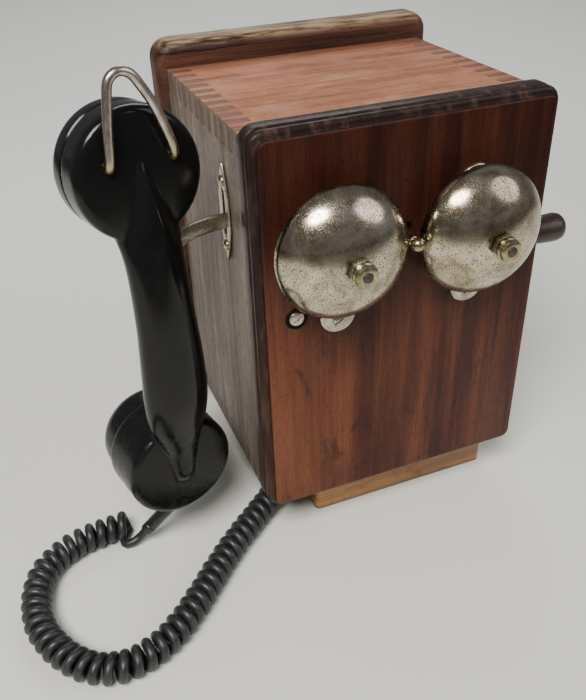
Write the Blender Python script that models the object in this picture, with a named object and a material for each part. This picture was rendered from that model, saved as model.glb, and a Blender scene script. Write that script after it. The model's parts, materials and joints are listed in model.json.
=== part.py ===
"""Wall crank telephone: wooden case, twin gongs on a hinged door, magneto crank, switch hook and handset.

Frame: X to the right, Y towards the wall, Z up. X = 0 is the middle of the door, Y = 0 the middle of
the case's depth, Z = 0 the surface that the block under the case stands on.
Sizes below are in millimetres; the helpers turn them into metres.
"""

from math import cos, pi, radians, sin

import bmesh
import bpy
from mathutils import Matrix, Vector

for old in list(bpy.data.objects):
    bpy.data.objects.remove(old, do_unlink=True)

MM = 0.001
GAP = 0.3

# ---- case ----
CASE_W = 165.0
CASE_D = 131.0
CASE_BOTTOM = 32.0
CASE_TOP = 251.0
BOARD = 12.0
FINGERS = 23
SIDE = CASE_W / 2
INNER = SIDE - BOARD
FRONT = -CASE_D / 2
REAR = CASE_D / 2

# ---- back board ----
BACK_W = 179.0
BACK_X = 1.5
BACK_BOTTOM = 18.5
BACK_TOP = 265.5
BACK_T = 18.0
BACK_EDGE_R = 7.0
BACK_CORNER_R = 11.0

# ---- block below the case ----
BLOCK_W = 121.2
BLOCK_D = 107.0
BLOCK_MID = (13.1, -11.8)
BLOCK_CORNER_R = 3.0

# ---- door ----
DOOR_W = 168.5
DOOR_H = 227.0
DOOR_BOTTOM = 29.0
DOOR_T = 18.0
DOOR_EDGE = 5.0
DOOR_CORNER_R = 9.0
BEAD_R = 2.7
BEAD_INSET = 2.9
BEAD_DEPTH = 6.3
FACE = FRONT - DOOR_T
DOOR_BACK = FRONT - GAP
DOOR_MID = DOOR_BOTTOM + DOOR_H / 2
HINGE_X = 84.6
HINGE_Y = FRONT
HINGE_LENGTH = 38.0
KNUCKLE_R = 2.3
HINGE_PIN_R = 1.0
LEAF_T = 1.0

# ---- gongs ----
GONG_R = 34.3
GONG_DEPTH = 21.6
GONG_WALL = 1.3
GONG_Z = 195.6
GONG_MID_X = -6.25
GONGS = (("left", -44.7, 197.4), ("right", 32.2, 193.8))
GONG_RIM = FACE - 11.0
GONG_APEX = GONG_RIM - GONG_DEPTH
STUD_R = 2.4
PLATE_W = 20.0
PLATE_SHIFT = 3.0
PLATE_BOTTOM = 146.0
PLATE_TOP = 224.5
PLATE_T = 2.0

# ---- ringer behind the door ----
RINGER_X = GONG_MID_X
COIL_X = 15.0
COIL_R = 10.5
COIL_REAR = FRONT + 35.0
ARMATURE_Y = COIL_REAR + 4.0
BALL_R = 3.7
BALL_Y = FACE - 17.5
CLAPPER_SLOT_W = 14.0

# ---- door lock ----
LOCK_X = -64.0
LOCK_Z = 158.5
TONGUE_Y = -58.5

# ---- switch hook ----
HOOK_Y = -36.5
HOOK_Z = 197.3
HOOK_PIVOT_X = -54.0
HOOK_T = 3.0
HOOK_H = 6.8
SLOT_PLATE_Z = 201.5
SLOT_PLATE_H = 54.0
SLOT_PLATE_W = 15.0

# ---- crank and generator ----
CRANK_Y = -3.5
CRANK_Z = 162.0
CRANK_REACH = 52.0
KNOB_START = 91.0
KNOB_LENGTH = 27.5
MODULE = 1.25
GEAR_TEETH = 44
PINION_TEETH = 11
TOOTH_WIDTH = 6.0
GEAR_X = 56.0
CENTRES = MODULE * (GEAR_TEETH + PINION_TEETH) / 2
ROTOR_Z = CRANK_Z - CENTRES
ROTOR_R = 11.0
END_RIGHT_X = 49.0
END_LEFT_X = -26.0
MAGNET_WIDTH = 31.0

# ---- handset ----
HANDSET_AT = (-128.5, -62.2, 154.0)
HANDSET_TURN = radians(13.0)
EAR_Z = 84.5
EAR_R = 32.0
EAR_TILT = radians(5.0)
MOUTH_Z = -90.0
MOUTH_R = 31.5
CUP_INSIDE_R = 25.4
CUP_FLOOR = 5.0
LOOP_WIRE_R = 2.2

# ---- cord ----
COIL_CORD_R = 8.75
LEAD_R = 2.6
SLEEVE_R = 3.9
TABLE_GAP = 0.2


# ---------------------------------------------------------------- helpers
def material(name, colour, roughness, metallic=0.0):
    """A Principled material of one colour."""
    new = bpy.data.materials.new(name)
    new.use_nodes = True
    shader = new.node_tree.nodes["Principled BSDF"]
    shader.inputs["Base Color"].default_value = (*colour, 1.0)
    shader.inputs["Roughness"].default_value = roughness
    shader.inputs["Metallic"].default_value = metallic
    return new


MAHOGANY = ((0.16, 0.045, 0.022), 0.35)
CASE_WOOD = ((0.22, 0.11, 0.065), 0.55)
BLOCK_WOOD = ((0.52, 0.27, 0.08), 0.5)
NICKEL = ((0.55, 0.52, 0.46), 0.25, 1.0)
BRASS = ((0.60, 0.52, 0.32), 0.35, 1.0)
IRON = ((0.20, 0.20, 0.21), 0.45, 1.0)
BAKELITE = ((0.012, 0.012, 0.013), 0.15)
RUBBER = ((0.035, 0.035, 0.038), 0.5)
KNOB_WOOD = ((0.055, 0.025, 0.018), 0.4)
COIL_TAPE = ((0.10, 0.16, 0.10), 0.7)
CAN = ((0.50, 0.51, 0.50), 0.4, 1.0)


def aim(toward, up=(0, 0, 1)):
    """Rotation that takes local Z to `toward` and local Y as near to `up` as it can."""
    z = Vector(toward).normalized()
    x = Vector(up).cross(z)
    if x.length < 1e-6:
        x = Vector((1, 0, 0))
    x.normalize()
    y = z.cross(x)
    return Matrix((x, y, z)).transposed()


def add(name, shape, finish, at=(0, 0, 0), turn=None, parent=None, smooth=35.0):
    """Make an object of a bmesh built in millimetres round its own origin."""
    bmesh.ops.recalc_face_normals(shape, faces=shape.faces)
    bmesh.ops.scale(shape, vec=(MM, MM, MM), verts=shape.verts)
    mesh = bpy.data.meshes.new(name)
    shape.to_mesh(mesh)
    shape.free()
    mesh.shade_smooth()
    mesh.set_sharp_from_angle(angle=radians(smooth))
    piece = bpy.data.objects.new(name, mesh)
    bpy.context.collection.objects.link(piece)
    place = Vector(at) * MM
    if parent is not None:
        piece.parent = parent
        place = place - parent.location
    piece.location = place
    if turn is not None:
        piece.rotation_euler = turn.to_euler()
    if finish is not None:
        mesh.materials.append(material(name, *finish))
    return piece


def joint_empty(name, at, turn_z=0.0):
    """An empty on a joint's axis."""
    empty = bpy.data.objects.new(name, None)
    bpy.context.collection.objects.link(empty)
    empty.location = Vector(at) * MM
    empty.rotation_euler = (0, 0, turn_z)
    return empty


def bridge(shape, rings, closed=False):
    """Join rings of vertices; a ring of one vertex is a pole. Open ends are filled."""
    pairs = list(zip(rings, rings[1:]))
    if closed:
        pairs.append((rings[-1], rings[0]))
    for low, high in pairs:
        count = max(len(low), len(high))
        for i in range(count):
            j = (i + 1) % count
            corners = []
            for ring, k in ((low, i), (low, j), (high, j), (high, i)):
                vert = ring[k % len(ring)]
                if vert not in corners:
                    corners.append(vert)
            shape.faces.new(corners)
    if not closed:
        for ring in (rings[0], rings[-1]):
            if len(ring) > 2:
                shape.faces.new(ring)


def loft(sections, closed=False):
    """A solid through lists of points, each list one ring."""
    shape = bmesh.new()
    rings = [[shape.verts.new(p) for p in section] for section in sections]
    bridge(shape, rings, closed)
    return shape


def turned(profile, turns=24, closed=False):
    """A solid of revolution round local Z from (radius, height) points."""
    sections = []
    for radius, height in profile:
        if radius < 1e-6:
            sections.append([(0, 0, height)])
        else:
            angles = [2 * pi * i / turns for i in range(turns)]
            sections.append([(radius * cos(a), radius * sin(a), height) for a in angles])
    return loft(sections, closed)


def rod(radius, start, end, turns=16):
    """A plain cylinder along local Z."""
    return turned([(0, start), (radius, start), (radius, end), (0, end)], turns)


def tube_ring(inner, outer, start, end, turns=20):
    """A short pipe along local Z."""
    profile = [(outer, start), (outer, end), (inner, end), (inner, start)]
    return turned(profile, turns, closed=True)


def prism(outline, start, end):
    """An outline in local XY run along local Z."""
    return loft([[(x, y, start) for x, y in outline], [(x, y, end) for x, y in outline]])


def block(low, high):
    """A cuboid between two corners."""
    (x0, y0, z0), (x1, y1, z1) = low, high
    return prism([(x0, y0), (x1, y0), (x1, y1), (x0, y1)], z0, z1)


def rounded(half_w, half_h, radius, steps=4, middle=(0, 0)):
    """Outline of a rectangle with round corners, anticlockwise."""
    points = []
    corners = ((1, -1, -90), (1, 1, 0), (-1, 1, 90), (-1, -1, 180))
    for sx, sy, start in corners:
        for i in range(steps + 1):
            a = radians(start + 90.0 * i / steps)
            x = middle[0] + sx * (half_w - radius) + radius * cos(a)
            y = middle[1] + sy * (half_h - radius) + radius * sin(a)
            points.append((x, y))
    return points


def cut(piece, cutter, operation="DIFFERENCE"):
    """Cut one object by another, or join the other to it, and hide the tool."""
    cutter.hide_render = True
    cutter.display_type = "WIRE"
    change = piece.modifiers.new(cutter.name, "BOOLEAN")
    change.operation = operation
    change.solver = "EXACT"
    change.object = cutter


def smooth_route(points, spacing):
    """Points a given distance apart on a smooth curve through the given ones."""
    knots = [Vector(p) for p in points]
    knots = [2 * knots[0] - knots[1]] + knots + [2 * knots[-1] - knots[-2]]
    fine = []
    for a, b, c, d in zip(knots, knots[1:], knots[2:], knots[3:]):
        for i in range(20):
            t = i / 20
            fine.append(0.5 * (2 * b + (c - a) * t + (2 * a - 5 * b + 4 * c - d) * t * t
                               + (3 * b - a - 3 * c + d) * t ** 3))
    fine.append(knots[-2])
    lengths = [0.0]
    for a, b in zip(fine, fine[1:]):
        lengths.append(lengths[-1] + (b - a).length)
    count = max(2, round(lengths[-1] / spacing))
    route = []
    k = 0
    for i in range(count + 1):
        want = lengths[-1] * i / count
        while k < len(lengths) - 2 and lengths[k + 1] < want:
            k += 1
        span = lengths[k + 1] - lengths[k]
        route.append(fine[k].lerp(fine[k + 1], (want - lengths[k]) / span))
    return route


def wire(name, points, radius, finish, parent=None, resolution=2):
    """A tube along points: a poly curve with a round bevel and filled ends."""
    curve = bpy.data.curves.new(name, "CURVE")
    curve.dimensions = "3D"
    curve.bevel_depth = radius * MM
    curve.bevel_resolution = resolution
    curve.resolution_u = 1
    curve.render_resolution_u = 0
    curve.use_fill_caps = True
    spline = curve.splines.new("POLY")
    spline.points.add(len(points) - 1)
    origin = Vector((0, 0, 0)) if parent is None else parent.location
    for target, point in zip(spline.points, points):
        target.co = (*(Vector(point) * MM - origin), 1.0)
    curve.materials.append(material(name, *finish))
    piece = bpy.data.objects.new(name, curve)
    bpy.context.collection.objects.link(piece)
    piece.parent = parent
    return piece


# ---------------------------------------------------------------- case
def finger_edges(low, high):
    """Marks along a board's edge where its fingers change, and which of the spans are this board's."""
    step = (high - low) / FINGERS
    return [(low + i * step, low + (i + 1) * step, i % 2 == 0) for i in range(FINGERS)]


def comb(spans, deep, shallow, owns):
    """Points along a comb-jointed edge: `deep` where this board's fingers reach, else `shallow`."""
    points = []
    half_gap = GAP / 2
    for start, end, first in spans:
        mine = first == owns
        a = start + (half_gap if mine else -half_gap)
        b = end - (half_gap if mine else -half_gap)
        a = max(a, spans[0][0])
        b = min(b, spans[-1][1])
        reach = deep if mine else shallow
        points.extend([(a, reach), (b, reach)])
    return points


def make_case():
    """Four comb-jointed boards, the back board and the block below."""
    spans = finger_edges(FRONT, REAR)
    for name, sign in (("top_board", 1), ("bottom_board", -1)):
        edge = comb(spans, SIDE, INNER - GAP, True)
        right = [(reach, y) for y, reach in edge]
        left = [(-reach, y) for y, reach in reversed(edge)]
        z_out = CASE_TOP if sign > 0 else CASE_BOTTOM
        low, high = sorted((z_out, z_out - sign * BOARD))
        add(name, prism(right + left, low, high), CASE_WOOD)
    turn = Matrix(((0, 0, 1), (1, 0, 0), (0, 1, 0)))
    for name, sign in (("side_board_left", -1), ("side_board_right", 1)):
        top = comb(spans, CASE_TOP, CASE_TOP - BOARD - GAP, False)
        bottom = comb(spans, CASE_BOTTOM, CASE_BOTTOM + BOARD + GAP, False)
        outline = bottom + list(reversed(top))
        low, high = sorted((sign * SIDE, sign * INNER))
        add(name, prism(outline, low, high), CASE_WOOD, turn=turn)

    middle = (BACK_X, (BACK_BOTTOM + BACK_TOP) / 2)
    half_h = (BACK_TOP - BACK_BOTTOM) / 2
    steps = [(0.0, REAR + BACK_T)]
    for i in range(4):
        a = radians(30 * i)
        steps.append((BACK_EDGE_R * (1 - cos(a)), REAR + GAP + BACK_EDGE_R * (1 - sin(a))))
    sections = []
    for inset, y in steps:
        outline = rounded(BACK_W / 2 - inset, half_h - inset, BACK_CORNER_R - inset, 4, middle)
        sections.append([(x, y, z) for x, z in outline])
    back = add("back_board", loft(sections), MAHOGANY)
    for x, z in ((-45, CASE_TOP - 24), (45, CASE_TOP - 24), (0, CASE_BOTTOM + 24)):
        hole = add("wall_screw_hole", rod(3.0, -2, BACK_T + 4, 8), None, (x, REAR, z), aim((0, 1, 0)))
        cut(back, hole)

    outline = rounded(BLOCK_W / 2, BLOCK_D / 2, BLOCK_CORNER_R, 4, BLOCK_MID)
    add("base_block", prism(outline, 0, CASE_BOTTOM - GAP), BLOCK_WOOD)


# ---------------------------------------------------------------- door
def door_profile():
    """Inset and depth pairs down the moulded edge, from the back of the door to its face."""
    profile = [(0.5, DOOR_BACK), (0.0, DOOR_BACK - 0.6), (0.0, FACE + 10.4), (1.3, FACE + 9.8), (1.3, FACE + 9.2)]
    for i in range(6):
        a = radians(-90 + 36 * i)
        profile.append((BEAD_INSET - BEAD_R * cos(a), FACE + BEAD_DEPTH - BEAD_R * sin(a)))
    profile.extend([(4.0, FACE + 2.9), (4.2, FACE + 0.9), (DOOR_EDGE, FACE)])
    return profile


def make_door(hinge):
    """The moulded door with its holes."""
    sections = []
    for inset, y in door_profile():
        half_w = DOOR_W / 2 - inset
        half_h = DOOR_H / 2 - inset
        outline = rounded(half_w, half_h, DOOR_CORNER_R - inset, 3, (0, DOOR_MID))
        sections.append([(x, y, z) for x, z in outline])
    door = add("door", loft(sections), MAHOGANY, parent=hinge)
    through = DOOR_T + 4
    slot = add("clapper_slot", prism(rounded(CLAPPER_SLOT_W / 2, 4.5, 4.4), -2, through), None,
               (RINGER_X, FACE, GONG_Z), aim((0, 1, 0)))
    cut(door, slot)
    lock = add("lock_hole", rod(2.9, -2, through, 16), None, (LOCK_X, FACE, LOCK_Z), aim((0, 1, 0)))
    cut(door, lock)
    for z in hinge_heights():
        notch = add("hinge_notch", block((-4.2, -4.4, -HINGE_LENGTH / 2 - GAP),
                                         (4, 4, HINGE_LENGTH / 2 + GAP)), None, (HINGE_X + 1.0, HINGE_Y, z))
        cut(door, notch)
        rebate = add("leaf_rebate", block((-15, -LEAF_T - 2 * GAP, -HINGE_LENGTH / 2 - GAP),
                                          (0, 2, HINGE_LENGTH / 2 + GAP)), None, (HINGE_X - 1, HINGE_Y, z))
        cut(door, rebate)
    return door


def hinge_heights():
    """Middles of the two butt hinges."""
    return (DOOR_BOTTOM + 45, DOOR_BOTTOM + DOOR_H - 45)


def make_leaf(name, side, spans, hinge, z):
    """A hinge leaf let into the wood, in one body with its knuckles."""
    half = HINGE_LENGTH / 2
    near, far = sorted((side * 0.15, side * (0.15 + LEAF_T)))
    clear = KNUCKLE_R + GAP
    at = (HINGE_X, HINGE_Y, z)
    leaf = add(name, block((-14.0, near, -half), (-clear, far, half)), BRASS, at, parent=hinge)
    for low, high in spans:
        neck = add("knuckle_neck", block((-clear - 2.0, near, low), (0.0, far, high)), None, at, parent=hinge)
        cut(leaf, neck, "UNION")
        knuckle = add("knuckle", rod(KNUCKLE_R, low, high, 10), None, at, parent=hinge)
        cut(leaf, knuckle, "UNION")
    return leaf


def make_hinges(hinge):
    """Two butt hinges: a case leaf with two knuckles, and a door leaf with one knuckle and the pin."""
    half = HINGE_LENGTH / 2
    sixth = HINGE_LENGTH / 6
    for label, z in zip(("lower", "upper"), hinge_heights()):
        at = (HINGE_X, HINGE_Y, z)
        fixed = make_leaf("hinge_leaf_case_" + label, 1, ((-half, -sixth), (sixth, half)), None, z)
        bore = add("pin_bore", rod(HINGE_PIN_R + 0.2, -half - 1, half + 1, 8), None, at)
        cut(fixed, bore)
        moving = make_leaf("hinge_leaf_door_" + label, -1, ((GAP - sixth, sixth - GAP),), hinge, z)
        pin = add("pin_core", rod(HINGE_PIN_R, -half, half, 8), None, at, parent=hinge)
        cut(moving, pin, "UNION")
        rebate = add("leaf_rebate", block((-15.0, -1.0, -half - GAP), (2.0, LEAF_T + 2 * GAP, half + GAP)),
                     None, at)
        cut(bpy.data.objects["side_board_right"], rebate)


# ---------------------------------------------------------------- gongs and their plates
def gong_profile():
    """Closed section of a gong: outer dome down to the lip and back up inside. Height 0 is the rim."""
    outer = []
    inner = []
    steps = 7
    for i in range(steps + 1):
        a = radians(90 - 78 * i / steps)
        outer.append((GONG_R * cos(a) / cos(radians(12)), GONG_DEPTH * (0.17 + 0.83 * (sin(a) - 0.2) / 0.8)))
    outer[0] = (STUD_R + 0.25, GONG_DEPTH)
    outer.append((GONG_R, 0.6))
    outer.append((GONG_R - 0.4, 0.0))
    for radius, height in reversed(outer[:-2]):
        inner.append((max(radius - GONG_WALL, STUD_R + 0.25), height - GONG_WALL * 0.9))
    inner.insert(0, (GONG_R - GONG_WALL, 0.0))
    return outer + inner


def make_gongs(hinge):
    """Each gong on its stud, above its oval plate, held by a lock nut and a cap nut."""
    toward = aim((0, -1, 0))
    for label, x, z in GONGS:
        half_h = (PLATE_TOP - PLATE_BOTTOM) / 2
        middle = (PLATE_SHIFT, (PLATE_TOP + PLATE_BOTTOM) / 2 - z)
        strip = rounded(PLATE_W / 2, half_h, PLATE_W / 2 - 0.1, 6, middle)
        on_door = (x, FACE, z)
        add("gong_plate_" + label, prism(strip, GAP, GAP + PLATE_T), NICKEL, on_door, toward, hinge)
        base = PLATE_T + 2 * GAP
        lift = FACE - (GONG_APEX + GONG_WALL + 3 * GAP)
        tip = FACE - GONG_APEX + 9.0
        stud = turned([(0, base), (5.0, base), (5.0, lift), (STUD_R, lift), (STUD_R, tip), (0, tip)], 20)
        add("gong_stud_" + label, stud, BRASS, on_door, toward, hinge)
        add("gong_" + label, turned(gong_profile(), 28, True), NICKEL, (x, GONG_RIM, z), toward, hinge)
        on_gong = (x, GONG_APEX, z)
        bore = STUD_R + 0.25
        hexagon = [(7.0 * cos(pi * i / 3), 7.0 * sin(pi * i / 3)) for i in range(6)]
        nut = add("gong_lock_nut_" + label, prism(hexagon, GAP, 3.2), BRASS, on_gong, toward, hinge)
        hole = add("nut_bore", rod(bore, -1, 6, 12), None, on_gong, toward, hinge)
        cut(nut, hole)
        cap = [(bore, 3.5), (5.4, 3.5), (5.8, 4.1), (5.8, 7.4), (5.0, 8.4), (bore, 8.4)]
        add("gong_cap_nut_" + label, turned(cap, 14, True), BRASS, on_gong, toward, hinge)


# ---------------------------------------------------------------- ringer and lock, on the door
def make_ringer(hinge, swing):
    """Yoke plate, two coils, the bracket that carries the armature, and the clapper through the slot."""
    back = FRONT + GAP
    turn = aim((0, 1, 0))
    at = (RINGER_X, back, GONG_Z)
    yoke = add("ringer_yoke", prism(rounded(30.0, 11.0, 3.0, 3), GAP, 3.0), IRON, at, turn, hinge)
    cut(yoke, add("yoke_opening", prism(rounded(3.6, 4.2, 2.5, 3), -2, 8), None, at, turn, hinge))
    core_end = COIL_REAR - back
    for label, sign in (("left", -1), ("right", 1)):
        cheek = COIL_R + 1.2
        spool = [(0, 3.0 + GAP), (cheek, 3.0 + GAP), (cheek, 4.8), (COIL_R, 4.8), (COIL_R, core_end - 3.5),
                 (cheek, core_end - 3.5), (cheek, core_end - 2.0), (4.0, core_end - 2.0), (4.0, core_end),
                 (0, core_end)]
        at = (RINGER_X + sign * COIL_X, back, GONG_Z)
        add("ringer_coil_" + label, turned(spool, 16), COIL_TAPE, at, turn, hinge)
    arm_t = 2.0
    top = 14.5
    rear = ARMATURE_Y + 4.5
    outline = [(back + 3.0 + GAP, top), (rear, top), (rear, -top), (back + 3.0 + GAP, -top),
               (back + 3.0 + GAP, -top - arm_t), (rear + arm_t, -top - arm_t), (rear + arm_t, top + arm_t),
               (back + 3.0 + GAP, top + arm_t)]
    side_turn = Matrix(((0, 0, 1), (1, 0, 0), (0, 1, 0)))
    add("ringer_bracket", prism(outline, -4.0, 4.0), BRASS, (RINGER_X, 0, GONG_Z), side_turn, hinge)
    plate = add("ringer_armature", block((-22.0, -1.2, -4.5), (22.0, 1.2, 4.5)), IRON,
                (RINGER_X, ARMATURE_Y, GONG_Z), parent=swing)
    pivot = add("armature_pivot", rod(1.2, -top + GAP, top - GAP, 12), None, (RINGER_X, ARMATURE_Y, GONG_Z),
                parent=swing)
    cut(plate, pivot, "UNION")
    length = ARMATURE_Y - 1.2 - GAP - BALL_Y
    ball = [(0, length + BALL_R)]
    for i in range(1, 7):
        a = radians(90 - 24 * i)
        ball.append((BALL_R * cos(a), length + BALL_R * sin(a)))
    ball.extend([(2.6, length - 3.4), (2.6, length - 6.5), (1.1, length - 6.8), (1.1, 0), (0, 0)])
    add("clapper", turned(list(reversed(ball)), 12), NICKEL, (RINGER_X, ARMATURE_Y - 1.2 - GAP, GONG_Z),
        aim((0, -1, 0)), swing)


def make_lock(hinge, turn_empty):
    """Slotted lock screw, with a tongue that turns into a mortise in the left board."""
    toward = aim((0, -1, 0))
    at = (LOCK_X, FACE, LOCK_Z)
    inside = TONGUE_Y - 1.0 - GAP - FACE
    screw = turned([(0, -inside), (2.4, -inside), (2.4, 0.2), (4.0, 0.5), (4.0, 1.5), (3.6, 1.9), (0, 1.9)], 20)
    head = add("lock_screw", screw, NICKEL, at, toward, turn_empty)
    slit = add("screw_slot", block((-6.0, -0.5, 1.2), (6.0, 0.5, 3.0)), None, at,
               toward @ Matrix.Rotation(radians(-35), 3, "Z"), turn_empty)
    cut(head, slit)
    tongue = [(-3.0, -3.0), (3.0, -3.0), (3.0, 8.0), (0.0, 11.0), (-3.0, 11.0)]
    outline = [(x, -z) for x, z in tongue]
    add("lock_tongue", prism(outline, -1.0, 1.0), BRASS, (LOCK_X, TONGUE_Y, LOCK_Z), aim((0, 1, 0)), turn_empty)
    mortise = add("tongue_mortise", block((-1.0, -5.0, -12.0), (6.5, 5.0, 5.0)), None,
                  (-INNER - 6.0, TONGUE_Y, LOCK_Z))
    cut(bpy.data.objects["side_board_left"], mortise)


# ---------------------------------------------------------------- switch hook
def hook_outline():
    """Outline of the flat hook bar in X and Z round its pivot: inner tail, straight bar, dip and raised tip."""
    middle = [(14.0, 0.0), (0.0, 0.0), (-28.0, 0.0), (-40.0, -0.7), (-50.0, -3.0), (-58.0, -6.6), (-66.0, -8.0),
              (-74.0, -6.4), (-80.0, -2.8), (-84.0, -0.4)]
    route = smooth_route([(x, 0, z) for x, z in middle], 4.0)
    upper = []
    lower = []
    for i, point in enumerate(route):
        before = route[max(i - 1, 0)]
        after = route[min(i + 1, len(route) - 1)]
        along = (after - before).normalized()
        share = i / (len(route) - 1)
        half = HOOK_H / 2 * (1.0 + 0.15 * sin(pi * min(1.0, max(0.0, share - 0.35) / 0.5)))
        side = Vector((-along.z, 0, along.x)) * half
        upper.append((point.x + side.x, point.z + side.z))
        lower.append((point.x - side.x, point.z - side.z))
    return upper + list(reversed(lower))


def make_hook(pivot):
    """Slotted plate, the hook bar through it, the bracket it turns in and its contact springs."""
    turn = aim((0, -1, 0))
    at = (HOOK_PIVOT_X, HOOK_Y, HOOK_Z)
    hook = add("switch_hook", prism(hook_outline(), -HOOK_T / 2, HOOK_T / 2), NICKEL, at, turn, pivot)
    hole = add("hook_pivot_hole", rod(1.9, -4, 4, 12), None, at, turn, pivot)
    cut(hook, hole)

    half_w = SLOT_PLATE_W / 2
    half_h = SLOT_PLATE_H / 2
    outline = [(-half_w * 0.62, -half_h + 10), (0, -half_h), (half_w * 0.62, -half_h + 10), (half_w, -half_h + 18),
               (half_w, half_h - 18), (half_w * 0.62, half_h - 10), (0, half_h), (-half_w * 0.62, half_h - 10),
               (-half_w, half_h - 18), (-half_w, -half_h + 18)]
    out = aim((-1, 0, 0))
    mid = (-SIDE, HOOK_Y, SLOT_PLATE_Z)
    plate = add("slot_plate", prism(outline, GAP, 1.6), NICKEL, mid, out)
    slot = add("plate_slot", prism(rounded(2.3, 14.0, 2.2, 3), -1, 3), None, mid, out)
    cut(plate, slot)
    through = add("hook_slot", prism(rounded(3.2, 16.0, 3.0, 3), -BOARD - 2, 2), None, mid, out)
    cut(bpy.data.objects["side_board_left"], through)

    inner = -INNER + GAP
    ear = [(inner, -9.0), (inner + 2.0, -9.0), (HOOK_PIVOT_X + 5.0, -5.0), (HOOK_PIVOT_X + 5.0, 5.0),
           (inner + 2.0, 9.0), (inner, 9.0)]
    bracket = add("hook_bracket", prism(ear, -7.0, 7.0), BRASS, (0, HOOK_Y, HOOK_Z), turn)
    room = add("bracket_room", block((inner + 2.0, -10.0, -3.0), (HOOK_PIVOT_X + 9.0, 10.0, 3.0)), None,
               (0, HOOK_Y, HOOK_Z), turn)
    cut(bracket, room)
    entry = add("bracket_entry", block((inner - 2.0, -7.5, -2.4), (inner + 6.0, 7.5, 2.4)), None,
                (0, HOOK_Y, HOOK_Z), turn)
    cut(bracket, entry)
    pin = add("hook_pin", rod(1.5, -6.0, 6.0, 12), None, at, turn)
    cut(bracket, pin, "UNION")

    stack = add("hook_contacts", block((-7.0, -6.0, 0.0), (7.0, 6.0, 12.0)), IRON,
                (-INNER + 7.5, HOOK_Y + 22.0, HOOK_Z - 40.0))
    for i in range(4):
        x = -4.5 + 3.0 * i
        blade = add("contact_blade", block((x - 0.3, -3.0, 8.0), (x + 0.3, 3.0, 34.0)), None,
                    (-INNER + 7.5, HOOK_Y + 22.0, HOOK_Z - 40.0))
        cut(stack, blade, "UNION")


# ---------------------------------------------------------------- crank and generator
def gear_outline(teeth):
    """A spur gear's outline with straight-flanked teeth, a tooth centred on local X."""
    pitch_r = MODULE * teeth / 2
    points = []
    step = 2 * pi / teeth
    tip = pitch_r + 0.8 * MODULE
    root = pitch_r - 1.05 * MODULE
    for i in range(teeth):
        a = i * step
        for radius, share in ((root, -0.34), (tip, -0.13), (tip, 0.13), (root, 0.34)):
            b = a + share * step
            points.append((radius * cos(b), radius * sin(b)))
    return points


def make_crank(axle, knob_empty):
    """Shaft, toothed wheel and arm on the crank's axis, and the wooden knob on its own pin."""
    out = aim((1, 0, 0))
    at = (0, CRANK_Y, CRANK_Z)
    add("crank_bush", tube_ring(4.3, 9.0, GAP, 2.0), BRASS, (SIDE, CRANK_Y, CRANK_Z), out)
    bore = add("shaft_bore", rod(4.6, -2, BOARD + 2, 20), None, (INNER, CRANK_Y, CRANK_Z), out)
    cut(bpy.data.objects["side_board_right"], bore)
    end = SIDE + 2.6
    shaft = [(0, END_LEFT_X + 6.0), (3.0, END_LEFT_X + 6.0), (3.0, end), (0, end)]
    add("crank_shaft", turned(shaft, 20), IRON, at, out, axle)
    half = TOOTH_WIDTH / 2
    wheel = add("drive_gear", prism(gear_outline(GEAR_TEETH), GEAR_X - half, GEAR_X + half), BRASS, at, out, axle)
    eye = add("gear_bore", rod(3.0 + GAP, GEAR_X - 9, GEAR_X + 9, 20), None, at, out, axle)
    cut(wheel, eye)
    for i in range(4):
        a = pi / 4 + i * pi / 2
        web = (0, CRANK_Y + 16.0 * cos(a), CRANK_Z + 16.0 * sin(a))
        cut(wheel, add("gear_window", rod(6.0, GEAR_X - 9, GEAR_X + 9, 10), None, web, out, axle))
    arm = []
    for i in range(9):
        a = radians(-90 + 22.5 * i)
        arm.append((6.5 * cos(a), 6.5 * sin(a)))
    for i in range(9):
        a = radians(90 + 22.5 * i)
        arm.append((-CRANK_REACH + 5.0 * cos(a), 5.0 * sin(a)))
    side_turn = Matrix(((0, 0, 1), (1, 0, 0), (0, 1, 0)))
    low = end + GAP
    bar = add("crank_arm", prism(arm, low, low + 3.2), NICKEL, at, side_turn, axle)
    stud = add("knob_pin", rod(2.0, low + 1.0, KNOB_START + KNOB_LENGTH - 6, 12), None,
               (0, CRANK_Y - CRANK_REACH, CRANK_Z), out, axle)
    cut(bar, stud, "UNION")
    nut = add("arm_boss", rod(4.6, low + 1.0, low + 6.4, 16), None, at, out, axle)
    cut(bar, nut, "UNION")
    length = KNOB_LENGTH
    knob = [(0, length - 5.7), (2.3, length - 5.7), (2.3, 0), (6.2, 0), (7.0, 1.2), (7.5, 6.0), (8.3, length * 0.5),
            (8.6, length * 0.75), (8.4, length - 4.2), (7.1, length - 1.4), (4.6, length - 0.2), (0, length)]
    add("crank_knob", turned(knob, 18), KNOB_WOOD, (KNOB_START, CRANK_Y - CRANK_REACH, CRANK_Z), out,
        knob_empty)


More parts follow.
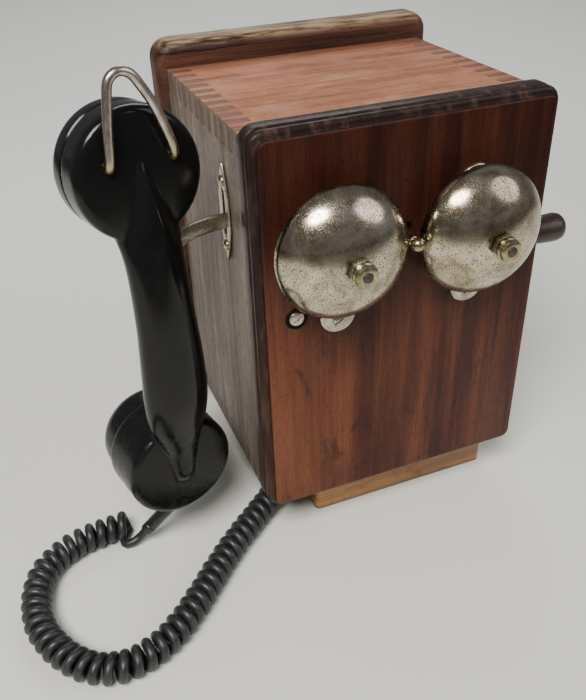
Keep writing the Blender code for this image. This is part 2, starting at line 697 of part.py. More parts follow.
def make_generator(rotor_axle):
    """Base, end plates, pole block, horseshoe magnets, and the rotor with its pinion."""
    out = aim((1, 0, 0))
    side_turn = Matrix(((0, 0, 1), (1, 0, 0), (0, 1, 0)))
    floor = CASE_BOTTOM + BOARD + GAP
    centre = (0, CRANK_Y, ROTOR_Z)
    add("generator_base", block((END_LEFT_X - 6, CRANK_Y - 30, floor), (END_RIGHT_X + 8, CRANK_Y + 30, floor + 4)),
        IRON)
    foot = floor + 4 + GAP - ROTOR_Z
    head = CRANK_Z - ROTOR_Z
    for label, x in (("left", END_LEFT_X), ("right", END_RIGHT_X - 3.0)):
        outline = [(-22, foot), (22, foot), (22, 18), (9, head + 8), (5, head + 11), (-5, head + 11),
                   (-9, head + 8), (-22, 18)]
        plate = add("generator_end_" + label, prism(outline, x, x + 3.0), BRASS, centre, side_turn)
        cut(plate, add("rotor_bearing", rod(2.8, x - 5, x + 9, 16), None, centre, out))
        cut(plate, add("shaft_bearing", rod(3.3, x - 5, x + 9, 16), None, (0, CRANK_Y, CRANK_Z), out))
    low = END_LEFT_X + 3.0 + GAP
    high = END_RIGHT_X - 3.0 - GAP
    poles = add("generator_poles", prism(rounded(12.4, 14.0, 1.0, 2), low, high), IRON, centre, side_turn)
    cut(poles, add("rotor_tunnel", rod(ROTOR_R + 0.5, low - 5, high + 5, 28), None, centre, out))
    depth = 60.0
    for i in range(2):
        outer = []
        inner = []
        for k in range(9):
            a = radians(180 + 22.5 * k)
            outer.append((22.0 * cos(a), 22.0 * sin(a) - depth + 22.0))
            inner.append((12.7 * cos(a), 12.7 * sin(a) - depth + 22.0))
        ends = [(22.0, 14.0), (12.7, 14.0)]
        outline = [(-22.0, 14.0)] + outer + ends + list(reversed(inner)) + [(-12.7, 14.0)]
        start = low + 2.0 + i * (MAGNET_WIDTH + 1.0)
        magnet = prism(outline, start, start + MAGNET_WIDTH)
        add("generator_magnet_%d" % (i + 1), magnet, IRON, centre, side_turn)
    rotor = [(0, low - 4.5), (2.4, low - 4.5), (2.4, low + 2), (ROTOR_R, low + 2), (ROTOR_R, high - 2),
             (2.4, high - 2), (2.4, GEAR_X + 4.5), (0, GEAR_X + 4.5)]
    core = add("generator_rotor", turned(rotor, 24), IRON, centre, out, rotor_axle)
    for sign in (-1, 1):
        y = sign * 7.5
        groove = block((low + 1, y - 4.0, -6.0), (high - 1, y + 4.0, 6.0))
        cut(core, add("rotor_groove", groove, None, centre, parent=rotor_axle))
    half = TOOTH_WIDTH / 2 + 0.5
    meshed = out @ Matrix.Rotation(pi / (2 * PINION_TEETH), 3, "Z")
    pinion = add("pinion", prism(gear_outline(PINION_TEETH), GEAR_X - half, GEAR_X + half), BRASS, centre, meshed,
                 rotor_axle)
    cut(pinion, add("pinion_bore", rod(2.4 + GAP, GEAR_X - 9, GEAR_X + 9, 12), None, centre, out, rotor_axle))


# ---------------------------------------------------------------- electrical parts inside
def make_electrics():
    """Induction coil, capacitor and terminal strip on the back board, and the cord's gland."""
    rear = REAR - GAP
    spool = [(0, -34), (14, -34), (14, -30), (10, -30), (10, 30), (14, 30), (14, 34), (0, 34)]
    add("induction_coil", turned(spool, 20), COIL_TAPE, (-22.0, rear - 15.0, 78.0), aim((1, 0, 0)))
    on_floor = (42.0, rear - 12.0, CASE_BOTTOM + BOARD + GAP)
    add("capacitor", prism(rounded(20, 12, 1.5, 2), 0, 44), CAN, on_floor)
    strip = add("terminal_strip", block((-50, rear - 10, 200), (50, rear, 214)), BAKELITE)
    for i in range(6):
        post = add("terminal_post", rod(3.0, -2, 4, 10), None, (-40 + 16.0 * i, rear - 10, 207), aim((0, -1, 0)))
        cut(strip, post, "UNION")
    x, y = GLAND_AT
    gland = [(LEAD_R + GAP, -3.0), (6.5, -3.0), (7.0, -1.0), (7.0, -GAP), (5.0, -GAP), (5.0, BOARD + 1.5),
             (LEAD_R + GAP, BOARD + 1.5)]
    add("cord_gland", turned(gland, 16, True), RUBBER, (x, y, CASE_BOTTOM))
    hole = add("gland_hole", rod(5.0 + GAP, -3, BOARD + 3, 16), None, (x, y, CASE_BOTTOM))
    cut(bpy.data.objects["bottom_board"], hole)


# ---------------------------------------------------------------- handset
def cup_profile(radius, depth):
    """Section of a handset cup along its axis: domed back and wall, before it is hollowed."""
    return [(0, -2.6), (radius * 0.5, -2.2), (radius - 3.0, -0.9), (radius - 0.8, 0.7), (radius, 3.0),
            (radius - 0.4, depth), (0, depth)]


def handle_section(z, half_w, half_t, middle):
    """One ring of the handle: a rounded section, flatter in front than at the back."""
    ring = []
    for i in range(16):
        a = 2 * pi * i / 16
        c = cos(a)
        s = sin(a)
        x = half_w * (abs(c) ** 0.85) * (1 if c > 0 else -1)
        y = half_t * (abs(s) ** 0.9) * (1 if s > 0 else -1)
        ring.append((x, middle + y, z))
    return ring


HANDLE = ((80, 15.0, 2.2, 2.0), (68, 19.0, 4.6, 2.6), (58, 16.5, 8.0, 1.6), (46, 14.9, 9.6, -1.6),
          (30, 14.8, 10.2, -4.0), (8, 15.6, 10.8, -5.8), (-14, 17.0, 11.0, -6.2), (-36, 17.8, 10.8, -5.0),
          (-54, 16.6, 9.6, -2.4), (-68, 12.6, 7.4, 0.4), (-80, 10.5, 2.6, 1.6))


def make_handset(empty):
    """Shell with two cups, their caps and capsules, the wire loop and the cord's sleeve."""
    shell = add("handset_shell", loft([handle_section(*row) for row in reversed(HANDLE)]), BAKELITE)
    shell.parent = empty
    ear_cap = [(0, 29.5), (10, 29.8), (20, 31.4), (25.2, 32.5), (28.6, 31.6), (31.2, 26.4), (31.9, 23.0),
               (31.7, 17.0), (26.2, 17.0), (26.2, 27.4), (0, 27.4)]
    mouth_cap = [(0, 45.5), (12, 46.5), (19, 49.0), (22.5, 50.4), (25.5, 49.6), (27.8, 44.0), (28.6, 38.0),
                 (29.0, 30.4), (26.2, 30.4), (26.2, 42.0), (0, 42.0)]
    ear = (EAR_Z, aim((0, cos(EAR_TILT), -sin(EAR_TILT))))
    mouth = (MOUTH_Z, aim((0, 1, 0)))
    cups = (("ear_cup", ear, EAR_R, 16.6), ("mouth_cup", mouth, MOUTH_R, 30.0))
    for name, mount, radius, depth in cups:
        cut(shell, on_cup(name, turned(cup_profile(radius, depth), 26), None, mount, empty), "UNION")
    for name, mount, radius, depth in cups:
        cut(shell, on_cup(name + "_recess", rod(CUP_INSIDE_R, CUP_FLOOR, depth + 10, 24), None, mount, empty))
    on_cup("ear_cap", turned(ear_cap, 26), BAKELITE, ear, empty)
    on_cup("mouth_cap", turned(mouth_cap, 26), BAKELITE, mouth, empty)
    for name, mount, start, end in (("receiver_capsule", ear, 5.6, 26.8), ("transmitter_capsule", mouth, 16.0, 41.4)):
        can = turned([(0, start), (20, start), (24.6, start + 4), (24.6, end), (0, end)], 24)
        on_cup(name, can, CAN, mount, empty)
    return shell


def on_cup(name, shape, finish, mount, empty):
    """Add a turned piece on the axis of one of the handset's cups."""
    z, turn = mount
    piece = add(name, shape, finish, turn=turn)
    piece.parent = empty
    piece.location = (0, 0, z * MM)
    return piece


def in_handset(x, y, z):
    """World position, in millimetres, of a point in the handset's own frame."""
    return Vector(HANDSET_AT) + Matrix.Rotation(HANDSET_TURN, 3, "Z") @ Vector((x, y, z))


LOOP_PLANE = -5.2
LOOP = ((-15.6, 2.4, 91.6), (-15.6, -2.6, 91.8), (-15.4, LOOP_PLANE, 95.0), (-14.2, LOOP_PLANE, 107.5),
        (-12.4, LOOP_PLANE, 120.9), (-11.0, LOOP_PLANE, 128.2), (-8.2, LOOP_PLANE, 131.3),
        (-4.4, LOOP_PLANE, 132.2), (-0.4, LOOP_PLANE, 130.3), (2.6, LOOP_PLANE, 126.3), (8.0, LOOP_PLANE, 116.7),
        (12.6, LOOP_PLANE, 105.0),
        (15.4, LOOP_PLANE, 95.6), (16.0, -2.6, 91.2), (16.0, 2.4, 90.9))


def make_loop(shell, empty):
    """Wire loop whose two ends sit in holes in the back of the ear cup."""
    points = smooth_route([in_handset(*p) for p in LOOP], 5.0)
    wire("hanging_loop", points, LOOP_WIRE_R, NICKEL)
    for x, z in ((LOOP[0][0], LOOP[0][2]), (LOOP[-1][0], LOOP[-1][2])):
        hole = add("loop_hole", rod(LOOP_WIRE_R + 2.5 * GAP, -4.0, 3.2, 12), None, turn=aim((0, 1, 0)))
        hole.parent = empty
        hole.location = (x * MM, 0, z * MM)
        cut(shell, hole)


# ---------------------------------------------------------------- cord
SLEEVE_TOP = (-132.2, -55.6, 36.8)
SLEEVE_END = (-154.2, -49.4, 11.0)
GLAND_AT = (-60.0, -14.0)
COIL_Z = COIL_CORD_R + TABLE_GAP
COIL_ROUTE = ((-164.3, -35.3), (-179.7, -38.3), (-193.4, -40.6), (-204.5, -45.6), (-214.0, -53.2), (-220.3, -63.6),
              (-223.4, -77.6), (-223.4, -91.6), (-219.6, -105.4), (-213.2, -117.6), (-205.4, -127.0),
              (-197.0, -133.0), (-187.6, -135.8), (-178.0, -135.4), (-168.0, -132.4), (-158.0, -127.0),
              (-147.4, -118.6), (-135.8, -107.4), (-123.0, -94.2), (-109.4, -81.0), (-94.4, -68.2), (-79.6, -56.2),
              (-68.0, -46.0))
TAIL_ROUTE = ((-158.9, -45.2, 4.4), (-158.4, -41.8, 3.4), (-159.0, -40.0, LEAD_R + 0.4),
              (-160.8, -39.9, LEAD_R + 0.3))
LEAD_ROUTE = ((-66.2, -40.4, LEAD_R + TABLE_GAP), (-63.0, -34.0, LEAD_R + TABLE_GAP), (-61.4, -26.0, 4.4),
              (-60.4, -19.0, 10.5), (GLAND_AT[0], -15.0, 19.0), (GLAND_AT[0], GLAND_AT[1], CASE_BOTTOM - 3.0 - GAP))


def make_cord(shell, empty):
    """Sleeve in the mouth cup, plain tail, the curly length as one fat tube, and the lead to the gland."""
    top = Vector(SLEEVE_TOP)
    end = Vector(SLEEVE_END)
    down = (end - top).normalized()
    length = (end - top).length
    sleeve = [(0, 0), (SLEEVE_R, 0), (SLEEVE_R, length - 1.0), (SLEEVE_R - 0.5, length), (0, length)]
    add("cord_sleeve", turned(sleeve, 16), RUBBER, top, aim(down))
    socket = add("sleeve_socket", rod(SLEEVE_R + GAP, -GAP, 12.0, 16), None, top, aim(down))
    cut(shell, socket)
    tail = [end + down * GAP, end + down * 6.2, *TAIL_ROUTE]
    wire("cord_tail", smooth_route(tail, 2.4 * LEAD_R), LEAD_R, RUBBER)
    coil = [(x, y, COIL_Z) for x, y in COIL_ROUTE]
    wire("cord_coil", smooth_route(coil, 12.0), COIL_CORD_R, RUBBER, resolution=3)
    wire("cord_lead", smooth_route(LEAD_ROUTE, 2.4 * LEAD_R), LEAD_R, RUBBER)


# ---------------------------------------------------------------- the telephone
def main():
    """Make every piece, each moving group on an empty that stands on its joint's axis."""
    door_axis = joint_empty("door_axis", (HINGE_X, HINGE_Y, DOOR_MID))
    clapper_axis = joint_empty("clapper_axis", (RINGER_X, ARMATURE_Y, GONG_Z))
    lock_axis = joint_empty("lock_axis", (LOCK_X, FACE, LOCK_Z))
    hook_axis = joint_empty("hook_axis", (HOOK_PIVOT_X, HOOK_Y, HOOK_Z))
    crank_axis = joint_empty("crank_axis", (SIDE, CRANK_Y, CRANK_Z))
    knob_axis = joint_empty("knob_axis", (KNOB_START, CRANK_Y - CRANK_REACH, CRANK_Z))
    rotor_axis = joint_empty("rotor_axis", (GEAR_X, CRANK_Y, ROTOR_Z))
    handset_frame = joint_empty("handset_frame", HANDSET_AT, HANDSET_TURN)
    make_case()
    make_door(door_axis)
    make_hinges(door_axis)
    make_gongs(door_axis)
    make_ringer(door_axis, clapper_axis)
    make_lock(door_axis, lock_axis)
    make_hook(hook_axis)
    make_crank(crank_axis, knob_axis)
    make_generator(rotor_axis)
    make_electrics()
    shell = make_handset(handset_frame)
    make_loop(shell, handset_frame)
    make_cord(shell, handset_frame)


main()
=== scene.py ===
"""Looks of the wall crank telephone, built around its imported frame.

Frame: X to the right, Y towards the wall, Z up. Sizes and places below are in millimetres; MM turns
them into metres. Every new piece is made where it stands at rest, so its object coordinates are the
row frame's.
"""

import json
from math import cos, pi, radians, sin, tau

import bmesh
import bpy
from mathutils import Matrix, Vector

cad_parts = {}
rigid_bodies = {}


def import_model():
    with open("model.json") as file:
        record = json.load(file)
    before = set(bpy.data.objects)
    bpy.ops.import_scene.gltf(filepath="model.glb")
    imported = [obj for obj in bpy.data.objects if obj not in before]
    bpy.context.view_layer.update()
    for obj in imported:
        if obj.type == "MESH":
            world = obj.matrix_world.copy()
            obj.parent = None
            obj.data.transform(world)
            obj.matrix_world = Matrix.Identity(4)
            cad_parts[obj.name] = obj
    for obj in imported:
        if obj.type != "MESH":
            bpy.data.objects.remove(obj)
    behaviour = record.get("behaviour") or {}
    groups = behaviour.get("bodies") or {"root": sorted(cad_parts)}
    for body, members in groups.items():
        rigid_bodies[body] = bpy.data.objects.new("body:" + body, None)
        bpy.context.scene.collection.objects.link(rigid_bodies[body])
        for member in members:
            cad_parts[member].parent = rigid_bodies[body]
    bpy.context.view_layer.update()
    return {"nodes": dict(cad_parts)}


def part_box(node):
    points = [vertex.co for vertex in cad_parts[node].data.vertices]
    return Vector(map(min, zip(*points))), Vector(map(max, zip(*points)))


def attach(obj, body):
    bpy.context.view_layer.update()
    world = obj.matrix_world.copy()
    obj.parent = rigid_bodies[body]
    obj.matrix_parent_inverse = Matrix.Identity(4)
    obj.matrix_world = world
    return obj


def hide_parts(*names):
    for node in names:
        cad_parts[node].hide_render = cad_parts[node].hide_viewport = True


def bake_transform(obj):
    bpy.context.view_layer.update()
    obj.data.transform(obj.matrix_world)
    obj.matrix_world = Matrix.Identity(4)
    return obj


for old in list(bpy.data.objects):
    bpy.data.objects.remove(old, do_unlink=True)

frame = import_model()
NODES = frame["nodes"]
MM = 0.001


def span(node):
    """Lowest and highest corner of a CAD node, in millimetres."""
    low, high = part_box(node)
    return low / MM, high / MM


def middle_xz(node):
    """Middle of a CAD node in X and Z."""
    low, high = span(node)
    return (low.x + high.x) / 2, (low.z + high.z) / 2


# ---------------- meshes
def facing(direction, at):
    """Matrix that carries local Z along a direction, from a place."""
    z = Vector(direction).normalized()
    x = Vector((0, 0, 1)).cross(z)
    if x.length < 1e-4:
        x = Vector((1, 0, 0)).cross(z)
    x.normalize()
    y = z.cross(x)
    return Matrix.Translation(at) @ Matrix((x, y, z)).transposed().to_4x4()


def make(name, shape, look, body, sharp=32.0):
    """A piece from (points, faces) in millimetres, riding on a body, smooth except at sharp edges."""
    points, faces = shape
    mesh = bpy.data.meshes.new(name)
    mesh.from_pydata([Vector(p) * MM for p in points], [], faces)
    edit = bmesh.new()
    edit.from_mesh(mesh)
    bmesh.ops.remove_doubles(edit, verts=edit.verts, dist=1e-7)
    bmesh.ops.recalc_face_normals(edit, faces=edit.faces)
    edit.to_mesh(mesh)
    edit.free()
    mesh.shade_smooth()
    mesh.set_sharp_from_angle(angle=radians(sharp))
    piece = bpy.data.objects.new(name, mesh)
    bpy.context.collection.objects.link(piece)
    piece.data.materials.append(look)
    if body:
        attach(piece, body)
    return piece


def joined(*shapes):
    """Several shapes as one, as loose parts."""
    points = []
    faces = []
    for some_points, some_faces in shapes:
        start = len(points)
        points.extend(some_points)
        faces.extend([tuple(i + start for i in face) for face in some_faces])
    return points, faces


def moved(shape, matrix):
    """A shape carried by a matrix."""
    points, faces = shape
    return [matrix @ Vector(p) for p in points], faces


def rings_to_shape(rings, ends=True):
    """Skin over rings of equal length, with flat ends if asked."""
    count = len(rings[0])
    points = [p for ring in rings for p in ring]
    faces = []
    for i in range(len(rings) - 1):
        for k in range(count):
            n = (k + 1) % count
            faces.append((i * count + k, i * count + n, (i + 1) * count + n, (i + 1) * count + k))
    if ends:
        faces.append(tuple(reversed(range(count))))
        faces.append(tuple(range((len(rings) - 1) * count, len(rings) * count)))
    return points, faces


def lathe(profile, turns=48, closed=False):
    """A profile of (radius, height) turned about local Z. A closed profile leaves a bore."""
    small = 0.02
    rings = []
    rows = list(profile) + ([profile[0]] if closed else [])
    for radius, height in rows:
        r = max(radius, small)
        rings.append([(r * cos(tau * k / turns), r * sin(tau * k / turns), height) for k in range(turns)])
    return rings_to_shape(rings, not closed)


def prism(outline, low, high):
    """An outline in X and Y drawn out along Z."""
    return rings_to_shape([[(x, y, low) for x, y in outline], [(x, y, high) for x, y in outline]])


def box_shape(low, high):
    """A block between two corners."""
    outline = [(low[0], low[1]), (high[0], low[1]), (high[0], high[1]), (low[0], high[1])]
    return prism(outline, low[2], high[2])


def rounded(half_w, half_h, radius, steps=8, middle=(0, 0)):
    """A rectangle with round corners."""
    outline = []
    for quarter, (sx, sy) in enumerate(((1, 1), (-1, 1), (-1, -1), (1, -1))):
        for i in range(steps + 1):
            a = pi / 2 * (quarter + i / steps)
            outline.append((middle[0] + sx * (half_w - radius) + radius * cos(a),
                            middle[1] + sy * (half_h - radius) + radius * sin(a)))
    return outline


def between(a, b, c, d, t):
    """A share t of the way from b to c, on a smooth curve through all four."""
    return 0.5 * (2 * b + (c - a) * t + (2 * a - 5 * b + 4 * c - d) * t * t
                  + (3 * b - a - 3 * c + d) * t ** 3)


def smooth_route(points, spacing):
    """Points a given distance apart on a smooth curve through the given ones."""
    knots = [Vector(p) for p in points]
    knots = [2 * knots[0] - knots[1]] + knots + [2 * knots[-1] - knots[-2]]
    fine = []
    for a, b, c, d in zip(knots, knots[1:], knots[2:], knots[3:]):
        fine.extend(between(a, b, c, d, i / 20) for i in range(20))
    fine.append(knots[-2])
    lengths = [0.0]
    for a, b in zip(fine, fine[1:]):
        lengths.append(lengths[-1] + (b - a).length)
    count = max(2, round(lengths[-1] / spacing))
    route = []
    k = 0
    for i in range(count + 1):
        want = lengths[-1] * i / count
        while k < len(lengths) - 2 and lengths[k + 1] < want:
            k += 1
        share = (want - lengths[k]) / (lengths[k + 1] - lengths[k])
        route.append(fine[k].lerp(fine[k + 1], share))
    return route


def tube(route, radius, sides=14):
    """A round tube along a route. Its section doesn't twist."""
    rings = []
    along = (route[1] - route[0]).normalized()
    side = along.orthogonal().normalized()
    for i, point in enumerate(route):
        after = route[min(i + 1, len(route) - 1)]
        before = route[max(i - 1, 0)]
        along = (after - before).normalized()
        side = (side - side.dot(along) * along).normalized()
        other = along.cross(side)
        rings.append([point + radius * (cos(tau * k / sides) * side + sin(tau * k / sides) * other)
                      for k in range(sides)])
    return rings_to_shape(rings)


def cut(piece, shapes):
    """Take shapes, in millimetres, out of a piece for good."""
    cutter = make("cutter", joined(*shapes), None, None)
    change = piece.modifiers.new("cut", "BOOLEAN")
    change.operation = "DIFFERENCE"
    change.object = cutter
    change.solver = "EXACT"
    settle(piece)
    bpy.data.objects.remove(cutter, do_unlink=True)


def settle(piece):
    """Replace a piece's mesh by what its modifiers make of it."""
    evaluated = piece.evaluated_get(bpy.context.evaluated_depsgraph_get())
    mesh = bpy.data.meshes.new_from_object(evaluated)
    piece.modifiers.clear()
    piece.data = mesh
    mesh.shade_smooth()
    mesh.set_sharp_from_angle(angle=radians(32))


def round_edges(piece, width, segments=2):
    """Soft edges of a given width, in millimetres, on a new piece or a CAD node."""
    weld = piece.modifiers.new("weld", "WELD")
    weld.merge_threshold = 1e-6
    bevel = piece.modifiers.new("edge", "BEVEL")
    bevel.width = width * MM
    bevel.segments = segments
    bevel.limit_method = "ANGLE"
    bevel.angle_limit = radians(35)
    bevel.harden_normals = True
    bevel.use_clamp_overlap = True
    for face in piece.data.polygons:
        face.use_smooth = True


# ---------------- materials
class Look:
    """One material's node tree, put together by short calls. Places in it are in millimetres."""

    def __init__(self, name, roughness=0.5, metallic=0.0, **sockets):
        self.material = bpy.data.materials.new(name)
        self.material.use_nodes = True
        self.tree = self.material.node_tree
        self.shader = self.tree.nodes["Principled BSDF"]
        self.fill(self.shader, Roughness=roughness, Metallic=metallic, **sockets)
        scaled = self.node("VectorMath")
        scaled.operation = "SCALE"
        self.fill(scaled, Scale=1.0 / MM)
        self.put(scaled.inputs[0], self.node("TexCoord").outputs["Object"])
        self.place = scaled.outputs[0]
        self.x, self.y, self.z = self.node("SeparateXYZ", Vector=self.place).outputs

    def put(self, socket, value):
        """A number, a colour or another node's output into a socket."""
        if isinstance(value, bpy.types.NodeSocket):
            self.tree.links.new(value, socket)
        elif isinstance(value, tuple) and socket.type == "RGBA":
            socket.default_value = (*value, 1.0)
        else:
            socket.default_value = value

    def fill(self, node, **sockets):
        """Values for a node's sockets, whose names have _ for a space."""
        for socket, value in sockets.items():
            self.put(node.inputs[socket.replace("_", " ")], value)
        return node

    def node(self, kind, **sockets):
        """A new node of a kind."""
        return self.fill(self.tree.nodes.new("ShaderNode" + kind), **sockets)

    def at(self, x, y=None, z=None, turn=(0, 0, 0)):
        """Position measured in steps of these sizes along each axis."""
        steps = (1 / x, 1 / (y or x), 1 / (z or x))
        return self.node("Mapping", Vector=self.place, Scale=steps, Rotation=turn).outputs[0]

    def noise(self, sizes, detail=3.0, rough=0.5, distortion=0.0):
        """Cloudy noise from 0 to 1, of one size or of the sizes that `at` takes."""
        at = self.at(*sizes) if isinstance(sizes, tuple) else self.at(sizes)
        node = self.node("TexNoise", Vector=at, Scale=1.0, Detail=detail, Roughness=rough,
                         Distortion=distortion)
        return node.outputs["Fac"]

    def cells(self, size):
        """Distance to the nearest of scattered points."""
        return self.node("TexVoronoi", Vector=self.at(size), Scale=1.0, Randomness=1.0).outputs["Distance"]

    def step(self, value, low, high):
        """0 below low, rising smoothly to 1 above high; low may be the larger."""
        ends = (1.0, 0.0) if low > high else (0.0, 1.0)
        node = self.node("MapRange", Value=value, From_Min=min(low, high), From_Max=max(low, high),
                         To_Min=ends[0], To_Max=ends[1])
        node.interpolation_type = "SMOOTHSTEP"
        return node.outputs[0]

    def calc(self, operation, a, b=0.0):
        """One arithmetic step."""
        node = self.node("Math")
        node.operation = operation
        self.put(node.inputs[0], a)
        self.put(node.inputs[1], b)
        return node.outputs[0]

    def scale(self, value, by, plus):
        """A value times one number, plus another."""
        return self.calc("ADD", self.calc("MULTIPLY", value, by), plus)

    def both(self, a, b):
        """Where both masks hold."""
        return self.calc("MULTIPLY", a, b)

    def either(self, a, b):
        """Where one of the masks holds."""
        return self.calc("MAXIMUM", a, b)

    def near(self, value, middle, reach):
        """A mask round one value of a coordinate."""
        return self.step(self.calc("ABSOLUTE", self.calc("SUBTRACT", value, middle)), reach, reach * 0.15)

    def mix(self, factor, first, second, blend="MIX"):
        """Two colours mixed."""
        node = self.node("Mix")
        node.data_type = "RGBA"
        node.blend_type = blend
        self.put(node.inputs[0], factor)
        self.put(node.inputs[6], first)
        self.put(node.inputs[7], second)
        return node.outputs[2]

    def stain(self, colour, mask, share, second, blend="MIX"):
        """A colour with a share of a second one where a mask holds."""
        return self.mix(self.calc("MULTIPLY", mask, share), colour, second, blend)

    def shades(self, value, *stops):
        """A colour for each level of a value."""
        node = self.node("ValToRGB")
        band = node.color_ramp
        while len(band.elements) < len(stops):
            band.elements.new(0.5)
        for element, (level, colour) in zip(band.elements, stops):
            element.position = level
            element.color = (*colour, 1.0)
        self.put(node.inputs["Fac"], value)
        return node.outputs["Color"]

    def bump(self, height, depth):
        """Relief of a depth in millimetres where height goes from 0 to 1. Later calls add to it."""
        node = self.node("Bump", Strength=1.0, Distance=depth * MM, Height=height)
        normal = self.shader.inputs["Normal"]
        if normal.is_linked:
            self.tree.links.new(normal.links[0].from_socket, node.inputs["Normal"])
        self.tree.links.new(node.outputs[0], normal)

    def finish(self, colour, roughness=None):
        """Connect the colour, and the roughness if it varies, and give the material."""
        self.put(self.shader.inputs["Base Color"], colour)
        if roughness is not None:
            self.put(self.shader.inputs["Roughness"], roughness)
        return self.material


def along_grain(axis, across, length):
    """Sizes of a stretched pattern whose long way is one axis."""
    return tuple(length if name == axis else across for name in "xyz")


def wood(look, axis, tones, streak=0.5, pores=0.75, band_width=11.0):
    """Colour of wood: slow bands, fine streaks and short dark pores, all drawn out along one axis.
    Gives the colour and the mask of the pores."""
    bands = look.noise(along_grain(axis, band_width, band_width * 16), 3.0, 0.55, 0.5)
    fine = look.noise(along_grain(axis, 1.1, 60.0), 4.0, 0.6)
    pore = look.step(look.noise(along_grain(axis, 0.42, 5.0), 2.0, 0.5), 0.57, 0.7)
    dark, middle, light = tones
    colour = look.shades(bands, (0.34, dark), (0.5, middle), (0.68, light))
    shade = look.shades(fine, (0.36, (0.42, 0.4, 0.4)), (0.6, (1.0, 1.0, 1.0)))
    colour = look.mix(streak, colour, shade, "MULTIPLY")
    colour = look.stain(colour, pore, pores, tuple(c * 0.22 for c in dark))
    look.bump(look.calc("SUBTRACT", 1.0, pore), 0.06)
    look.bump(fine, 0.05)
    return colour, pore


def door_wood():
    """Varnished mahogany of the door, darker at the top and in its mouldings, with orange low at the left."""
    look = Look("door_mahogany", 0.34, Specular_IOR_Level=0.14)
    low, high = span("door")
    colour, pore = wood(look, "z", ((0.052, 0.016, 0.012), (0.09, 0.028, 0.017), (0.135, 0.044, 0.023)), 0.45)
    cloud = look.noise((46.0, 46.0, 70.0), 3.0, 0.55)
    lighter = look.both(look.step(look.z, high.z - 60, low.z + 35), look.step(look.x, 20.0, low.x + 12))
    lighter = look.both(lighter, look.step(cloud, 0.36, 0.62))
    colour = look.stain(colour, lighter, 0.3, (0.24, 0.085, 0.03), "SCREEN")
    top = look.step(look.z, low.z + 110, high.z - 30)
    colour = look.stain(colour, top, 0.72, (0.2, 0.14, 0.14), "MULTIPLY")
    stain = look.step(look.noise((15.0, 15.0, 26.0), 4.0, 0.6, 0.8), 0.57, 0.72)
    colour = look.stain(colour, stain, 0.55, (0.018, 0.009, 0.008))
    specks = look.step(look.noise(2.1, 3.0, 0.6), 0.64, 0.72)
    colour = look.stain(colour, specks, 0.7, (0.012, 0.007, 0.006))
    rim = look.step(look.y, low.y + 0.5, low.y + 1.6)
    dusty = look.step(look.noise((5.0, 5.0, 24.0), 4.0, 0.65), 0.45, 0.7)
    dark_rim = look.mix(dusty, (0.014, 0.009, 0.008), (0.06, 0.036, 0.026))
    colour = look.stain(colour, rim, 0.85, dark_rim)
    rough = look.calc("ADD", look.calc("MULTIPLY", cloud, 0.3), look.calc("MULTIPLY", pore, 0.15))
    look.bump(cloud, 0.25)
    return look.finish(colour, look.calc("ADD", rough, 0.16))


def side_wood(name, axis, pale):
    """Worn, greyed board of the case; the ends of its fingers in the top are dark and reddish."""
    look = Look(name, 0.6)
    low, high = span("side_board_left")
    light = (0.33, 0.245, 0.185) if pale else (0.16, 0.075, 0.045)
    middle = (0.20, 0.145, 0.108) if pale else (0.1, 0.045, 0.028)
    dark = (0.105, 0.072, 0.055) if pale else (0.05, 0.02, 0.013)
    colour, pore = wood(look, axis, (dark, middle, light), 0.8, 0.85, 7.0)
    scuffs = look.step(look.noise((3.2, 3.2, 9.0), 5.0, 0.7), 0.55, 0.68)
    colour = look.stain(colour, scuffs, 0.6, (0.035, 0.024, 0.02))
    patch = look.step(look.noise((28.0, 28.0, 44.0), 3.0, 0.5, 0.5), 0.42, 0.66)
    colour = look.stain(colour, patch, 0.4, (0.11, 0.062, 0.046))
    front = look.both(look.step(look.y, low.y + 30, low.y + 5), look.step(look.z, low.z + 150, low.z + 40))
    colour = look.stain(colour, front, 0.55, (0.03, 0.022, 0.018))
    foot = look.step(look.z, low.z + 36, low.z + 2)
    colour = look.stain(colour, foot, 0.35, (0.06, 0.036, 0.028))
    ends = look.step(look.z, high.z - 0.9, high.z - 0.2)
    colour = look.mix(ends, colour, (0.13, 0.05, 0.03))
    look.bump(scuffs, -0.12)
    return look.finish(colour, look.scale(pore, 0.2, 0.5))


def top_wood():
    """Reddish orange top board, rubbed bright, with dark finger ends at its sides."""
    look = Look("top_board_mahogany", 0.5, Specular_IOR_Level=0.1)
    high = span("top_board")[1]
    colour, _ = wood(look, "x", ((0.25, 0.09, 0.05), (0.33, 0.13, 0.07), (0.40, 0.17, 0.095)), 0.4, 0.55, 8.0)
    rubbed = look.step(look.noise((30.0, 18.0, 30.0), 3.0, 0.6), 0.42, 0.7)
    colour = look.stain(colour, rubbed, 0.3, (0.5, 0.27, 0.17))
    stain = look.step(look.noise((20.0, 9.0, 20.0), 4.0, 0.65, 0.6), 0.6, 0.78)
    colour = look.stain(colour, stain, 0.5, (0.07, 0.03, 0.02))
    back = look.step(look.y, high.y - 16, high.y)
    colour = look.stain(colour, back, 0.6, (0.05, 0.02, 0.014))
    ends = look.step(look.calc("ABSOLUTE", look.x), high.x - 0.9, high.x - 0.2)
    colour = look.stain(colour, ends, 0.9, (0.15, 0.11, 0.085))
    inner = look.step(look.z, high.z - 1.0, high.z - 3.0)
    colour = look.stain(colour, inner, 0.6, (0.11, 0.07, 0.05))
    return look.finish(colour, look.scale(rubbed, -0.1, 0.6))


